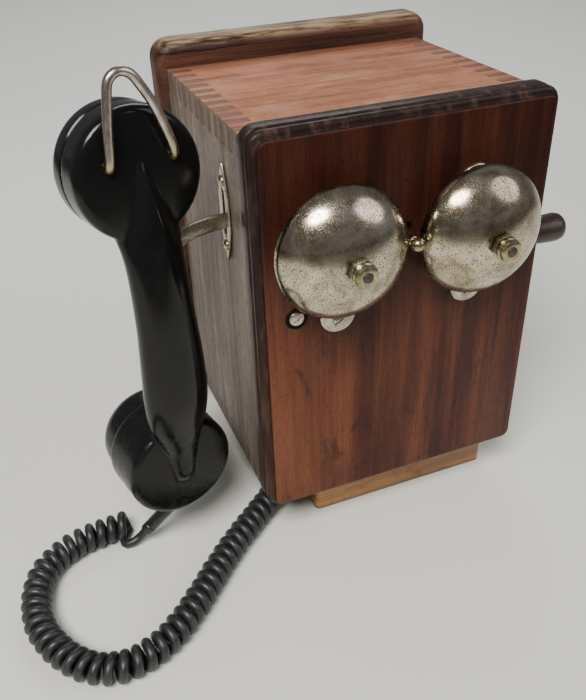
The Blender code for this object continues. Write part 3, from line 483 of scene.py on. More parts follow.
def back_wood():
    """Dark back board, rubbed to pale wood along its top edge, with a crack near the left end."""
    look = Look("back_board_wood", 0.5, Specular_IOR_Level=0.25)
    low, high = span("back_board")
    colour, _ = wood(look, "x", ((0.03, 0.012, 0.008), (0.07, 0.026, 0.015), (0.12, 0.045, 0.024)), 0.7)
    worn = look.noise((26.0, 3.0, 3.0), 5.0, 0.65)
    edge = look.both(look.step(look.z, high.z - 5.5, high.z - 0.6), look.step(worn, 0.36, 0.5))
    rub = look.mix(look.step(worn, 0.45, 0.6), (0.15, 0.085, 0.042), (0.32, 0.235, 0.135))
    colour = look.stain(colour, edge, 0.9, rub)
    wander = look.calc("ADD", look.z, look.calc("MULTIPLY", look.noise(9.0, 2.0), 3.0))
    crack = look.both(look.near(wander, high.z - 5.0, 0.5), look.step(look.x, low.x + 62, low.x + 50))
    colour = look.mix(crack, colour, (0.008, 0.005, 0.004))
    look.bump(look.calc("SUBTRACT", 1.0, crack), 0.4)
    return look.finish(colour, look.scale(worn, 0.3, 0.32))


def block_wood():
    """Honey-coloured block under the case, with patches of grime and darker along its foot."""
    look = Look("block_wood", 0.42, Coat_Weight=0.2, Coat_Roughness=0.3)
    low = span("base_block")[0]
    colour, _ = wood(look, "x", ((0.24, 0.09, 0.02), (0.38, 0.155, 0.038), (0.5, 0.23, 0.06)), 0.5, 0.5, 9.0)
    grime = look.step(look.noise(12.0, 4.0, 0.6), 0.5, 0.75)
    colour = look.stain(colour, grime, 0.5, (0.12, 0.05, 0.02))
    foot = look.step(look.z, low.z + 3.5, low.z + 0.5)
    colour = look.stain(colour, foot, 0.6, (0.1, 0.05, 0.025))
    return look.finish(colour, look.scale(grime, 0.3, 0.34))


def plated(name, tone, tarnish, spots=0.5, roughness=0.2, grain=0.8):
    """Old plating: cloudy tarnish, with dark pin-point spots that gather in patches."""
    look = Look(name, roughness, 1.0)
    cloud = look.noise(13.0, 4.0, 0.6, 0.6)
    patches = look.noise(8.0, 3.0, 0.6)
    colour = look.mix(look.step(cloud, 0.35, 0.68), tone, tarnish)
    dots = look.either(look.step(look.cells(grain), 0.4, 0.24),
                       look.step(look.cells(grain * 2.3), 0.26, 0.15))
    dots = look.both(dots, look.step(patches, 0.12, 0.5))
    colour = look.stain(colour, dots, spots, (0.05, 0.04, 0.028))
    smear = look.noise(2.6, 4.0, 0.6)
    rough = look.scale(smear, roughness * 0.9, roughness * 0.55)
    rough = look.calc("ADD", rough, look.calc("MULTIPLY", dots, 0.3))
    look.bump(look.calc("SUBTRACT", 1.0, dots), 0.012)
    look.bump(smear, 0.008)
    return look.finish(colour, rough)


def loop_wire():
    """Nickelled wire, rubbed to brass near its ends."""
    look = Look("loop_nickel", 0.26, 1.0)
    low = span("hanging_loop")[0]
    cloud = look.noise((3.0, 3.0, 8.0), 4.0, 0.6)
    colour = look.mix(look.step(cloud, 0.35, 0.7), (0.56, 0.5, 0.45), (0.36, 0.3, 0.25))
    ends = look.step(look.z, low.z + 16, low.z + 3)
    colour = look.stain(colour, ends, 0.75, (0.36, 0.31, 0.14))
    scratch = look.noise((0.5, 0.5, 6.0), 3.0, 0.6)
    look.bump(scratch, 0.03)
    return look.finish(colour, look.scale(scratch, 0.25, 0.16))


def bakelite():
    """Black moulded Bakelite, polished above, with a film of dust and hairline scratches lower down."""
    look = Look("bakelite", 0.15, Specular_IOR_Level=0.24)
    low, high = span("handset_shell")
    mottle = look.noise(9.0, 4.0, 0.6)
    colour = look.mix(mottle, (0.004, 0.004, 0.004), (0.008, 0.0075, 0.0075))
    film = look.step(look.z, high.z - 110, low.z + 10)
    film = look.both(film, look.step(look.noise(5.0, 5.0, 0.7), 0.3, 0.7))
    colour = look.stain(colour, film, 0.4, (0.014, 0.0135, 0.0125))
    scratch = look.noise((0.35, 0.35, 9.0, (0.3, 0.2, 0.0)), 2.0, 0.6)
    look.bump(scratch, 0.004)
    look.bump(mottle, 0.05)
    rough = look.calc("ADD", look.calc("MULTIPLY", film, 0.24), look.calc("MULTIPLY", mottle, 0.12))
    return look.finish(colour, look.calc("ADD", rough, 0.09))


def rubber(name, base, roughness):
    """Dull black cord covering, dusty in places."""
    look = Look(name, roughness)
    dust = look.step(look.noise(4.0, 5.0, 0.7), 0.42, 0.72)
    colour = look.mix(look.calc("MULTIPLY", dust, 0.6), base, tuple(c * 2.2 + 0.006 for c in base))
    fine = look.noise(0.7, 3.0, 0.6)
    look.bump(fine, 0.03)
    return look.finish(colour, look.scale(dust, 0.2, roughness - 0.08))


def knob_wood():
    """Dark turned wood of the crank's knob."""
    look = Look("knob_wood", 0.4)
    colour, pore = wood(look, "x", ((0.010, 0.005, 0.004), (0.022, 0.010, 0.008), (0.04, 0.02, 0.013)), 0.6)
    return look.finish(colour, look.scale(pore, 0.25, 0.34))


def plain_metal(name, tone, roughness, metallic=1.0):
    """Iron, brass or painted tin inside the case, with smears and small stains."""
    look = Look(name, roughness, metallic)
    smear = look.noise(6.0, 5.0, 0.65)
    stain = look.step(look.noise(1.6, 4.0, 0.6), 0.58, 0.72)
    colour = look.mix(look.step(smear, 0.3, 0.72), tone, tuple(c * 0.6 for c in tone))
    colour = look.stain(colour, stain, 0.5, tuple(c * 0.25 for c in tone))
    look.bump(smear, 0.05)
    return look.finish(colour, look.scale(smear, 0.3, roughness - 0.1))


def tape():
    """Varnished green cotton tape round the coils, in overlapping turns."""
    look = Look("coil_tape", 0.6)
    weave = look.noise(0.5, 2.0)
    turns = look.calc("FRACT", look.calc("MULTIPLY", look.calc("ADD", look.x, look.y), 1 / 7.0))
    colour = look.mix(weave, (0.03, 0.055, 0.04), (0.065, 0.1, 0.07))
    colour = look.mix(look.step(turns, 0.12, 0.0), colour, (0.012, 0.02, 0.015))
    look.bump(turns, 0.3)
    look.bump(weave, 0.1)
    return look.finish(colour)


LOOKS = {
    "door": door_wood(),
    "side": side_wood("side_board_wood", "z", True),
    "bottom": side_wood("bottom_board_wood", "x", False),
    "top": top_wood(),
    "back": back_wood(),
    "block": block_wood(),
    "gong": plated("gong_nickel", (0.58, 0.52, 0.41), (0.30, 0.24, 0.155), 0.8, 0.17),
    "plate": plated("plate_nickel", (0.6, 0.56, 0.47), (0.34, 0.29, 0.2), 0.6, 0.3),
    "nut": plated("nut_nickel", (0.54, 0.49, 0.33), (0.3, 0.25, 0.14), 0.5, 0.22, 0.6),
    "hook": plated("hook_nickel", (0.4, 0.37, 0.27), (0.16, 0.15, 0.1), 0.7, 0.34),
    "loop": loop_wire(),
    "bakelite": bakelite(),
    "cord": rubber("cord_rubber", (0.016, 0.016, 0.017), 0.46),
    "sleeve": rubber("sleeve_rubber", (0.009, 0.009, 0.009), 0.4),
    "knob": knob_wood(),
    "brass": plain_metal("old_brass", (0.5, 0.34, 0.14), 0.34),
    "iron": plain_metal("dark_iron", (0.13, 0.12, 0.115), 0.42),
    "steel": plain_metal("grey_steel", (0.42, 0.41, 0.39), 0.36),
    "magnet": plain_metal("painted_magnet", (0.16, 0.02, 0.014), 0.45, 0.0),
    "can": plain_metal("tinned_can", (0.5, 0.5, 0.48), 0.4),
    "tape": tape(),
    "ring": plain_metal("blackened_ring", (0.02, 0.018, 0.016), 0.5),
}

# ---------------- camera, floor and light
CAMERA_AT = (-187.6, -403.5, 367.9)
CAMERA_AZIMUTH = 20.71
CAMERA_DOWN = 33.66
CAMERA_ROLL = -2.15
PICTURE = (586, 700)
FOCAL_PIXELS = 790.0
SENSOR = 36.0


def make_camera():
    """The camera that looks down at the telephone from the front left."""
    data = bpy.data.cameras.new("camera")
    data.sensor_width = SENSOR
    data.lens = SENSOR * FOCAL_PIXELS / max(PICTURE)
    data.clip_start = 0.01
    camera = bpy.data.objects.new("camera", data)
    bpy.context.collection.objects.link(camera)
    turn = (Matrix.Rotation(-radians(CAMERA_AZIMUTH), 4, "Z")
            @ Matrix.Rotation(radians(90.0 - CAMERA_DOWN), 4, "X")
            @ Matrix.Rotation(radians(CAMERA_ROLL), 4, "Z"))
    camera.matrix_world = Matrix.Translation(Vector(CAMERA_AT) * MM) @ turn
    bpy.context.scene.camera = camera


def make_floor():
    """A wide pale table top under the telephone, with painted light that makes it paler towards the back and
    painted shade that makes it dark far in front and out to the left.
    """
    look = Look("pale_table", 0.5)
    cloud = look.noise(160.0, 3.0, 0.5)
    fine = look.noise(2.0, 3.0, 0.6)
    colour = look.mix(cloud, (0.74, 0.735, 0.66), (0.78, 0.772, 0.70))
    # Painted light: paler towards the back, making up for the lamps' light that fades with distance.
    colour = look.mix(look.step(look.y, 0.0, 700.0), colour, (0.97, 0.96, 0.92))
    # Painted shade: dark far in front and out to the left, standing in for the dim room that the metal, wood
    # and Bakelite reflect.
    colour = look.mix(look.step(look.y, -420.0, -800.0), colour, (0.12, 0.115, 0.1))
    colour = look.mix(look.step(look.x, -650.0, -1100.0), colour, (0.2, 0.19, 0.17))
    look.bump(fine, 0.02)
    reach = 6000.0
    corners = [(-reach, -reach, 0), (reach, -reach, 0), (reach, reach, 0), (-reach, reach, 0)]
    floor = make("table_top", (corners, [(0, 1, 2, 3)]), look.finish(colour), None)


def make_light(name, at, size, power, colour, target):
    """An oval soft light at a place, facing its target."""
    data = bpy.data.lights.new(name, "AREA")
    data.shape = "ELLIPSE"
    data.size = size[0] * MM
    data.size_y = size[1] * MM
    data.energy = power
    data.color = colour
    light = bpy.data.objects.new(name, data)
    bpy.context.collection.objects.link(light)
    turn = (Vector(target) - Vector(at)).to_track_quat("-Z", "Y").to_matrix().to_4x4()
    light.matrix_world = Matrix.Translation(Vector(at) * MM) @ turn


def make_world():
    """Dim even light all round, as in a plain room."""
    world = bpy.data.worlds.new("room")
    world.use_nodes = True
    sky = world.node_tree.nodes["Background"]
    sky.inputs["Color"].default_value = (0.93, 0.97, 1.0, 1.0)
    sky.inputs["Strength"].default_value = 0.2
    bpy.context.scene.world = world


# ---------------- cord
WIRE_R = 2.6
COIL_MEAN_R = 6.15
COIL_Z = 8.95
PITCH = 6.75
SLEEVE_TOP = Vector((-132.2, -55.6, 36.8))
SLEEVE_END = Vector((-154.2, -49.4, 11.0))
SLEEVE_R = 3.9
TAIL_ROUTE = ((-162.8, -49.0, 4.3), (-167.6, -47.4, 2.9), (-167.0, -42.0, 2.8))
COIL_ROUTE = (
    (-163.0, -37.0), (-169.0, -37.2), (-179.7, -38.3), (-193.4, -40.6), (-204.5, -45.6),
    (-214.0, -53.2), (-220.3, -63.6), (-223.4, -77.6), (-223.4, -91.6), (-219.6, -105.4),
    (-213.2, -117.6), (-205.4, -127.0), (-197.0, -133.0), (-187.6, -135.8), (-178.0, -135.4),
    (-168.0, -132.4), (-158.0, -127.0), (-147.4, -118.6), (-135.8, -107.4), (-123.0, -94.2),
    (-109.4, -81.0), (-94.4, -68.2), (-79.6, -56.2), (-68.0, -46.0))
LEAD_ROUTE = ((-63.8, -49.6, 2.8), (-59.6, -46.6, 2.8), (-58.6, -40.6, 2.8), (-59.4, -32.0, 3.2),
              (-60.2, -24.0, 5.5), (-60.4, -18.5, 11.0), (-60.0, -15.0, 19.0), (-60.0, -14.0, 28.7))
POINTS_A_TURN = 18
STRAIGHT_STEP = 2.2
SPLIT_TURN = 11


def coil_route():
    """Centreline of the curly length: a helix of whole turns round the smooth curve through COIL_ROUTE,
    from the handset."""
    middle = smooth_route([(x, y, COIL_Z) for x, y in COIL_ROUTE], PITCH / POINTS_A_TURN)
    up = Vector((0, 0, 1))
    route = []
    for i, point in enumerate(middle):
        before = middle[max(i - 1, 0)]
        after = middle[min(i + 1, len(middle) - 1)]
        side = (after - before).normalized().cross(up)
        turn = tau * i / POINTS_A_TURN
        swing = 1.0 - 0.03 * sin(i * 0.061) ** 2 - 0.02 * sin(i * 0.173) ** 2
        route.append(point + COIL_MEAN_R * swing * (sin(turn) * side - cos(turn) * up))
    whole = (len(route) - 1) // POINTS_A_TURN * POINTS_A_TURN
    return route[:whole + 1]


def make_cord():
    """The handset's cord: lead from the gland and curly length, on the case, and the turns next to the
    handset with the tail. The rubber sleeve is on the handset."""
    down = (SLEEVE_END - SLEEVE_TOP).normalized()
    coil = coil_route()
    split = SPLIT_TURN * POINTS_A_TURN
    tail = [SLEEVE_END - 2.0 * down, SLEEVE_END + 6.0 * down, *TAIL_ROUTE, coil[0]]
    near = smooth_route(tail, STRAIGHT_STEP) + coil[1:split + 1]
    far = coil[split:] + smooth_route([coil[-1], *LEAD_ROUTE], STRAIGHT_STEP)[1:]

    end = make("handset_cord_end", tube(near, WIRE_R), LOOKS["cord"], None)
    rest = make("handset_cord", tube(far, WIRE_R), LOOKS["cord"], "case")
    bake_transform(end)
    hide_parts("cord_coil", "cord_lead")
    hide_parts("cord_tail")

    length = (SLEEVE_END - SLEEVE_TOP).length
    profile = [(0, -8.0), (SLEEVE_R, -8.0), (SLEEVE_R, length - 7.5), (SLEEVE_R - 0.35, length - 7.0),
               (SLEEVE_R - 0.35, length - 6.2), (SLEEVE_R, length - 5.7), (SLEEVE_R, length - 1.2),
               (SLEEVE_R - 0.5, length - 0.3), (WIRE_R, length), (0, length)]
    sleeve = make("rubber_sleeve", moved(lathe(profile, 28), facing(down, SLEEVE_TOP)), LOOKS["sleeve"],
                  "handset")
    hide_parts("cord_sleeve")


# ---------------- screws
def screw_head(name, at, toward, radius, angle, look, body, countersunk=False):
    """A slotted screw head that stands on `at`, its slot turned by an angle."""
    height = radius * (0.22 if countersunk else 0.55)
    profile = [(0, -0.5), (radius, -0.5), (radius, 0.12)]
    for i in range(1, 7):
        a = radians(15 * i)
        profile.append((radius * cos(a), 0.12 + height * sin(a)))
    matrix = facing(toward, at)
    head = make(name, moved(lathe(profile, 28), matrix), look, body)
    slit = box_shape((-radius * 1.2, -radius * 0.12, height * 0.35),
                     (radius * 1.2, radius * 0.12, height * 3))
    cut(head, [moved(slit, matrix @ Matrix.Rotation(radians(angle), 4, "Z"))])
    head.data.materials.clear()
    head.data.materials.append(look)
    return head


# ---------------- case and door
DOOR_CORNER_R = 9.0
DOOR_BEAD_R = 2.7
BACK_EDGE_R = 7.0
BACK_CORNER_R = 11.0


def node_skin(node, rows, corner):
    """Skin over a CAD node's outline in X and Z, for each inset and depth, with round corners."""
    low, high = span(node)
    middle = (low + high) / 2
    rings = []
    for inset, y in rows:
        outline = rounded((high.x - low.x) / 2 - inset, (high.z - low.z) / 2 - inset, corner - inset, 8,
                          (middle.x, middle.z))
        rings.append([(x, y, z) for x, z in outline])
    return rings_to_shape(rings)


def dress_case():
    """Soft edges and wood on the boards, and the fine back board."""
    for node, look in (("top_board", "top"), ("bottom_board", "bottom"), ("side_board_left", "side"),
                       ("side_board_right", "side"), ("base_block", "block")):
        paint(node, look)
        round_edges(NODES[node], *((1.4, 3) if node == "base_block" else (0.35, 2)))

    low, high = span("back_board")
    rows = [(0.5, high.y), (0.0, high.y - 0.5)]
    for i in range(10):
        a = radians(90 * i / 9)
        rows.append((BACK_EDGE_R * (1 - cos(a)), low.y + BACK_EDGE_R * (1 - sin(a))))
    shape = node_skin("back_board", rows, BACK_CORNER_R)
    board = make("back_board_fine", shape, LOOKS["back"], "case", 40.0)
    hole = lathe([(0, -3), (3.0, -3), (3.0, 24), (0, 24)], 24)
    places = ((-45, high.z - 38.5), (45, high.z - 38.5), (0, low.z + 37.5))
    cut(board, [moved(hole, facing((0, 1, 0), (x, low.y, z))) for x, z in places])
    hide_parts("back_board")


def paint(node, look):
    """Give a CAD node one of the looks."""
    materials = NODES[node].data.materials
    materials.clear()
    materials.append(LOOKS[look])


def door_sections():
    """Inset and depth down the moulded edge of the door, from its back to its face."""
    low, high = span("door")
    face = low.y
    rows = [(0.6, high.y), (0.15, high.y - 0.15), (0.0, high.y - 0.6), (0.0, face + 10.8),
            (0.12, face + 10.3), (0.5, face + 9.95), (1.15, face + 9.75), (1.3, face + 9.4)]
    for i in range(13):
        a = radians(-90 + 15 * i)
        rows.append((2.9 - DOOR_BEAD_R * cos(a), face + 6.3 - DOOR_BEAD_R * sin(a)))
    rows.extend([(3.6, face + 3.4), (4.0, face + 2.9), (4.15, face + 2.0), (4.2, face + 0.9),
                 (4.35, face + 0.35), (4.7, face + 0.08), (5.0, face)])
    return rows


def make_door():
    """The moulded door with its clapper slot and lock hole, clear of the hinge leaves."""
    low, high = span("door")
    shape = node_skin("door", door_sections(), DOOR_CORNER_R)
    door = make("door_fine", shape, LOOKS["door"], "door", 40.0)
    toward = facing((0, 1, 0), (0, low.y - 3, 0))
    slot = [(x + RINGER_X, z + RINGER_Z) for x, z in rounded(7.0, 4.5, 4.4, 8)]
    cutters = [([(x, y, z) for y in (low.y - 3, high.y + 3) for x, z in slot],
                rings_to_shape([slot, slot])[1])]
    lock = lathe([(0, 0), (2.9, 0), (2.9, 26), (0, 26)], 24)
    cutters.append(moved(lock, Matrix.Translation((LOCK_X, 0, LOCK_Z)) @ toward))
    for label in ("lower", "upper"):
        for leaf in ("door", "case"):
            near, far = span("hinge_leaf_%s_%s" % (leaf, label))
            cutters.append(box_shape(near - Vector((0.3, 0.3, 0.3)), far + Vector((4.0, 0.3, 0.3))))
    cut(door, cutters)
    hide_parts("door")


# ---------------- gongs
DOOR_FACE = span("door")[0].y
RINGER_X, RINGER_Z = middle_xz("clapper")
LOCK_X, LOCK_Z = middle_xz("lock_screw")


GONG_WALL = 1.3
GONG_BORE_R = 2.65
LOCK_NUT_R = 7.0
LOCK_NUT_HEIGHT = 3.2


def gong_section(radius, depth):
    """Closed section of a gong: dome from its seat to the lip, then back up inside."""
    outer = []
    inner = []
    steps = 22
    for i in range(steps + 1):
        a = radians(90 - 78 * i / steps)
        outer.append((radius * cos(a) / cos(radians(12)), depth * (0.17 + 0.83 * (sin(a) - 0.2) / 0.8)))
    flat = [(GONG_BORE_R, depth), (GONG_BORE_R + 1.0, depth)]
    outer = flat + [p for p in outer if p[0] > GONG_BORE_R + 1.6]
    outer.extend([(radius - 0.05, 2.0), (radius, 1.1), (radius - 0.1, 0.45), (radius - 0.55, 0.0)])
    for r, h in reversed(outer[:-4]):
        inner.append((max(r - GONG_WALL, GONG_BORE_R), h - GONG_WALL * 0.9))
    inner.insert(0, (radius - GONG_WALL, 0.25))
    return outer + inner


def make_gongs():
    """Gongs, their round-ended plates with screws, studs with washers, lock nuts and cap nuts."""
    out = (0, -1, 0)
    for side in ("left", "right"):
        low, high = span("gong_" + side)
        x, z = middle_xz("gong_" + side)
        radius = (high.x - low.x) / 2
        depth = high.y - low.y
        dome = moved(lathe(gong_section(radius, depth), 96, True), facing(out, (x, high.y, z)))
        gong = make("gong_fine_" + side, dome, LOOKS["gong"], "door")
        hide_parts("gong_" + side)

        front = facing(out, (x, low.y, z))
        hexagon = []
        for corner in range(6):
            a = tau * corner / 6 + radians(13)
            hexagon.append((LOCK_NUT_R * cos(a), LOCK_NUT_R * sin(a)))
        inset = [(px * 0.93, py * 0.93) for px, py in hexagon]
        levels = ((inset, 0.3), (hexagon, 0.75), (hexagon, LOCK_NUT_HEIGHT - 0.5), (inset, LOCK_NUT_HEIGHT))
        rings = [[(*p, height) for p in outline] for outline, height in levels]
        nut = make("lock_nut_" + side, moved(rings_to_shape(rings), front), LOOKS["nut"],
                   "door", 25.0)
        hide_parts("gong_lock_nut_" + side)

        cap = [(2.66, 3.5), (5.2, 3.5), (5.8, 4.1), (5.8, 5.2), (5.5, 5.45), (5.5, 5.7), (5.8, 5.95),
               (5.8, 7.3), (5.45, 8.0), (4.6, 8.4), (2.66, 8.4)]
        top = make("cap_nut_" + side, moved(lathe(cap, 40, True), front), LOOKS["nut"],
                   "door")
        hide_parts("gong_cap_nut_" + side)
        paint("gong_stud_" + side, "iron")
        round_edges(NODES["gong_stud_" + side], 0.25)

        plate_low, plate_high = span("gong_plate_" + side)
        half_h = (plate_high.z - plate_low.z) / 2
        half_w = (plate_high.x - plate_low.x) / 2
        x, mid_z = middle_xz("gong_plate_" + side)
        rings = []
        for inset, height in ((0.0, 0.3), (0.0, 1.6), (0.2, 2.0), (0.75, 2.3)):
            outline = rounded(half_w - inset, half_h - inset, half_w - inset - 0.1, 12, (x, mid_z))
            rings.append([(px, DOOR_FACE - height, pz) for px, pz in outline])
        plate = make("gong_plate_fine_" + side, rings_to_shape(rings), LOOKS["plate"], "door", 50.0)
        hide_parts("gong_plate_" + side)
        for place, height, angle in (("lower", plate_low.z + 7.5, 32), ("upper", plate_high.z - 7.5, -20)):
            screw_head("plate_screw_%s_%s" % (side, place), (x, DOOR_FACE - 2.3, height), out, 3.6, angle,
                       LOOKS["plate"], "door")


def make_lock():
    """Slotted lock screw in a blackened ring let into the door."""
    out = (0, -1, 0)
    at = (LOCK_X, DOOR_FACE, LOCK_Z)
    ring = [(4.2, -0.2), (6.1, -0.2), (6.2, 0.15), (5.8, 0.5), (5.0, 0.6), (4.3, 0.3)]
    make("lock_ring", moved(lathe(ring, 40, True), facing(out, at)), LOOKS["ring"], "door")
    head = screw_head("lock_screw_head", (LOCK_X, DOOR_FACE - 0.3, LOCK_Z), out, 4.0, 35, LOOKS["plate"],
                      "lock", countersunk=True)
    rod = lathe([(0, -22.2), (2.4, -22.2), (2.4, 0.0), (0, 0.0)], 24)
    stem = make("lock_screw_stem", moved(rod, facing(out, at)), LOOKS["steel"], "lock")
    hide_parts("lock_screw")
    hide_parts("lock_screw")
    paint("lock_tongue", "brass")
    round_edges(NODES["lock_tongue"], 0.2)


def make_clapper():
    """Ball on its collar and rod, in the nickel of the nuts."""
    low, high = span("clapper")
    ball_r = (high.x - low.x) / 2
    ball_y = low.y + ball_r
    reach = high.y - ball_y
    profile = [(0, 0), (1.1, 0), (1.1, reach - 6.8), (2.4, reach - 6.5), (2.6, reach - 6.1),
               (2.6, reach - 3.9), (2.2, reach - 3.6)]
    for i in range(14):
        a = radians(-62 + 152 * i / 13)
        profile.append((ball_r * cos(a), reach + ball_r * sin(a)))
    shape = moved(lathe(profile, 32), facing((0, -1, 0), (RINGER_X, high.y, RINGER_Z)))
    ball = make("clapper_fine", shape, LOOKS["nut"], "clapper")
    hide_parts("clapper")


# ---------------- handset
HANDSET_AT = (-128.5, -62.2, 154.0)
HANDSET_TURN = radians(13.0)
HANDSET = Matrix.Translation(HANDSET_AT) @ Matrix.Rotation(HANDSET_TURN, 4, "Z")
EAR_Z = 84.5
EAR_TILT = radians(5.0)
EAR_R = 31.3
MOUTH_Z = -90.0
MOUTH_R = 31.5
EAR_DEPTH = 16.6
MOUTH_DEPTH = 30.0
LOOP_PLANE = -5.2
LOOP_WIRE_R = 2.2
# X and Z along the length of the loop that lies in its plane.
LOOP_FLAT = (
    (-15.4, 95.0), (-14.2, 107.5), (-12.4, 120.9), (-11.0, 128.2), (-8.2, 131.3), (-4.4, 132.2),
    (-0.4, 130.3), (2.6, 126.3), (8.0, 116.7), (12.6, 105.0), (15.4, 95.6))
LOOP = ((-15.6, 2.4, 91.6), (-15.6, -2.6, 91.8), *((x, LOOP_PLANE, z) for x, z in LOOP_FLAT),
        (16.0, -2.6, 91.2), (16.0, 2.4, 90.9))
# Height, half width, half depth, middle's depth, and the rib's half width and how far it stands out.
HANDLE = (
    (80.0, 15.0, 2.2, 2.0, 2.2, 3.2),
    (68.0, 19.0, 4.6, 2.6, 3.0, 3.4),
    (58.0, 16.5, 8.0, 1.6, 3.4, 2.4),
    (46.0, 14.9, 9.6, -1.6, 4.0, 1.5),
    (30.0, 14.8, 10.2, -4.0, 4.6, 1.0),
    (8.0, 15.6, 10.8, -5.8, 5.4, 0.8),
    (-14.0, 17.0, 11.0, -6.2, 6.2, 0.8),
    (-36.0, 17.8, 10.8, -5.0, 7.0, 0.7),
    (-54.0, 16.4, 9.8, -2.2, 7.0, 0.6),
    (-66.0, 12.6, 8.8, -0.4, 6.0, 0.4),
    (-76.0, 9.6, 7.6, 0.8, 5.0, 0.2),
    (-86.0, 8.2, 7.0, 1.2, 4.0, 0.1),
    (-94.0, 7.2, 6.2, 1.4, 3.0, 0.0),
    (-98.0, 4.6, 4.2, 1.4, 2.0, 0.0),
)
# Height, half width and crest of the arch in which the handle rises out of the back of the ear cup.
ARCH = ((93.0, 0.8, -1.6), (87.0, 2.6, -4.0), (77.0, 5.4, -6.2), (67.0, 8.2, -8.2), (57.0, 10.6, -10.0),
        (47.0, 11.6, -11.6), (38.0, 10.0, -12.2))


def spread_rows(rows, step):
    """Rows of numbers read off smoothly at even heights."""
    fine = []
    rows = [tuple(2 * a - b for a, b in zip(rows[0], rows[1]))] + list(rows)
    rows.append(tuple(2 * a - b for a, b in zip(rows[-1], rows[-2])))
    for a, b, c, d in zip(rows, rows[1:], rows[2:], rows[3:]):
        count = max(1, round(abs(c[0] - b[0]) / step))
        for i in range(count):
            fine.append(tuple(between(*four, i / count) for four in zip(a, b, c, d)))
    fine.append(rows[-2])
    return fine


def handle_ring(z, half_w, half_t, middle, rib_w, rib_h, count=56):
    """One section of the handle: oval, with a rounded rib along the middle of its back."""
    ring = []
    for i in range(count):
        a = tau * i / count
        c = cos(a)
        s = sin(a)
        x = half_w * abs(c) ** 0.85 * (1 if c > 0 else -1)
        y = half_t * abs(s) ** 0.9 * (1 if s > 0 else -1)
        if s < 0:
            share = max(0.0, 1.0 - (x / (rib_w * 1.25)) ** 2)
            y -= rib_h * share ** 0.6
        ring.append((x, middle + y, z))
    return ring


def cup_section(radius, depth):
    """Section of a cup: domed back, round shoulder, wall and rim, solid inside."""
    rows = [(0, -2.6)]
    for i in range(1, 8):
        r = (radius - 4.0) * i / 7
        rows.append((r, -2.6 + 1.5 * (r / radius) ** 2))
    start = rows[-1][1]
    for i in range(1, 7):
        a = radians(90 * i / 6)
        rows.append((radius - 4.0 + 3.9 * sin(a), start + 4.2 * (1 - cos(a))))
    rows.extend([(radius, start + 6.0), (radius, depth - 1.6), (radius - 0.5, depth - 0.6),
                 (radius - 1.4, depth), (0, depth)])
    return rows


def cap_section(radius, start, top, lip):
    """Section of a screwed cap: plain wall, rounded lip, dished face."""
    rim = radius - lip
    rows = [(radius - 3.6, start), (radius - 0.7, start), (radius - 0.1, start + 0.5), (radius, start + 1.4),
            (radius, start + (top - start) * 0.45)]
    for i in range(1, 9):
        a = radians(90 * i / 8)
        rows.append((rim + lip * cos(a) * (1 - 0.06 * i / 8), start + (top - start) * (0.45 + 0.55 * sin(a))))
    rows.extend([(rim - 1.8, top - 0.25), (rim - 4.0, top - 1.1), (rim * 0.6, top - 2.5),
                 (rim * 0.3, top - 3.1), (0, top - 3.3), (0, top - 6.0), (radius - 4.4, top - 6.0),
                 (radius - 4.4, start)])
    return rows


def make_handset():
    """Shell moulded in one with its rib, caps with their holes, and the wire loop."""
    rows = spread_rows(HANDLE, 3.0)
    body = rings_to_shape([handle_ring(*row) for row in rows])
    rings = []
    for z, half_w, crest in spread_rows(ARCH, 3.0):
        fall = 2.0 + half_w * 0.4
        ring = []
        for i in range(24):
            a = pi * i / 23
            ring.append((half_w * cos(a), crest + fall * (1.0 - sin(a)), z))
        ring.extend([(-half_w, 6.0, z), (half_w, 6.0, z)])
        rings.append(ring)
    parts = [body, rings_to_shape(rings)]
    ear = facing((0, cos(EAR_TILT), -sin(EAR_TILT)), (0, 0, EAR_Z))
    mouth = facing((0, 1, 0), (0, 0, MOUTH_Z))
    for mount, radius, depth in ((ear, EAR_R, EAR_DEPTH), (mouth, MOUTH_R, MOUTH_DEPTH)):
        parts.append(moved(lathe(cup_section(radius, depth), 72), mount))
    shell = make("handset_body", moved(joined(*parts), HANDSET), LOOKS["bakelite"], None, 60.0)
    skin = shell.modifiers.new("skin", "REMESH")
    skin.mode = "VOXEL"
    skin.voxel_size = 0.9 * MM
    skin.use_smooth_shade = True
    ease = shell.modifiers.new("ease", "SMOOTH")
    ease.factor = 0.5
    ease.iterations = 7
    settle(shell)
    shell.data.set_sharp_from_angle(angle=radians(75))
    shell.data.materials.clear()
    shell.data.materials.append(LOOKS["bakelite"])
    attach(shell, "handset")
    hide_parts("handset_shell")

    caps = (("ear_cap", ear, 31.2, 17.0, 32.5, 6.5, 2.0, (1, 6, 12), 4.6),
            ("mouth_cap", mouth, 29.0, 30.4, 50.4, 7.5, 2.4, (1, 6, 10), 5.2))
    for name, mount, radius, start, top, lip, hole_r, circles, pitch in caps:
        place = HANDSET @ mount
        cap = make(name + "_fine", moved(lathe(cap_section(radius, start, top, lip), 72, True), place),
                   LOOKS["bakelite"], "handset")
        holes = []
        for circle, count in enumerate(circles):
            for k in range(count):
                a = tau * k / count + circle * 0.3
                spot = Matrix.Translation((pitch * circle * cos(a), pitch * circle * sin(a), 0))
                hole = lathe([(0, top - 9), (hole_r / 2, top - 9), (hole_r / 2, top + 2), (0, top + 2)], 14)
                holes.append(moved(hole, place @ spot))
        cut(cap, holes)
        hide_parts(name)

    route = [HANDSET @ p for p in smooth_route(LOOP, 1.6)]
    loop = make("wire_loop", tube(route, LOOP_WIRE_R, 20), LOOKS["loop"], "handset")
    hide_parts("hanging_loop")
    for node in ("receiver_capsule", "transmitter_capsule"):
        paint(node, "can")
        round_edges(NODES[node], 0.4)


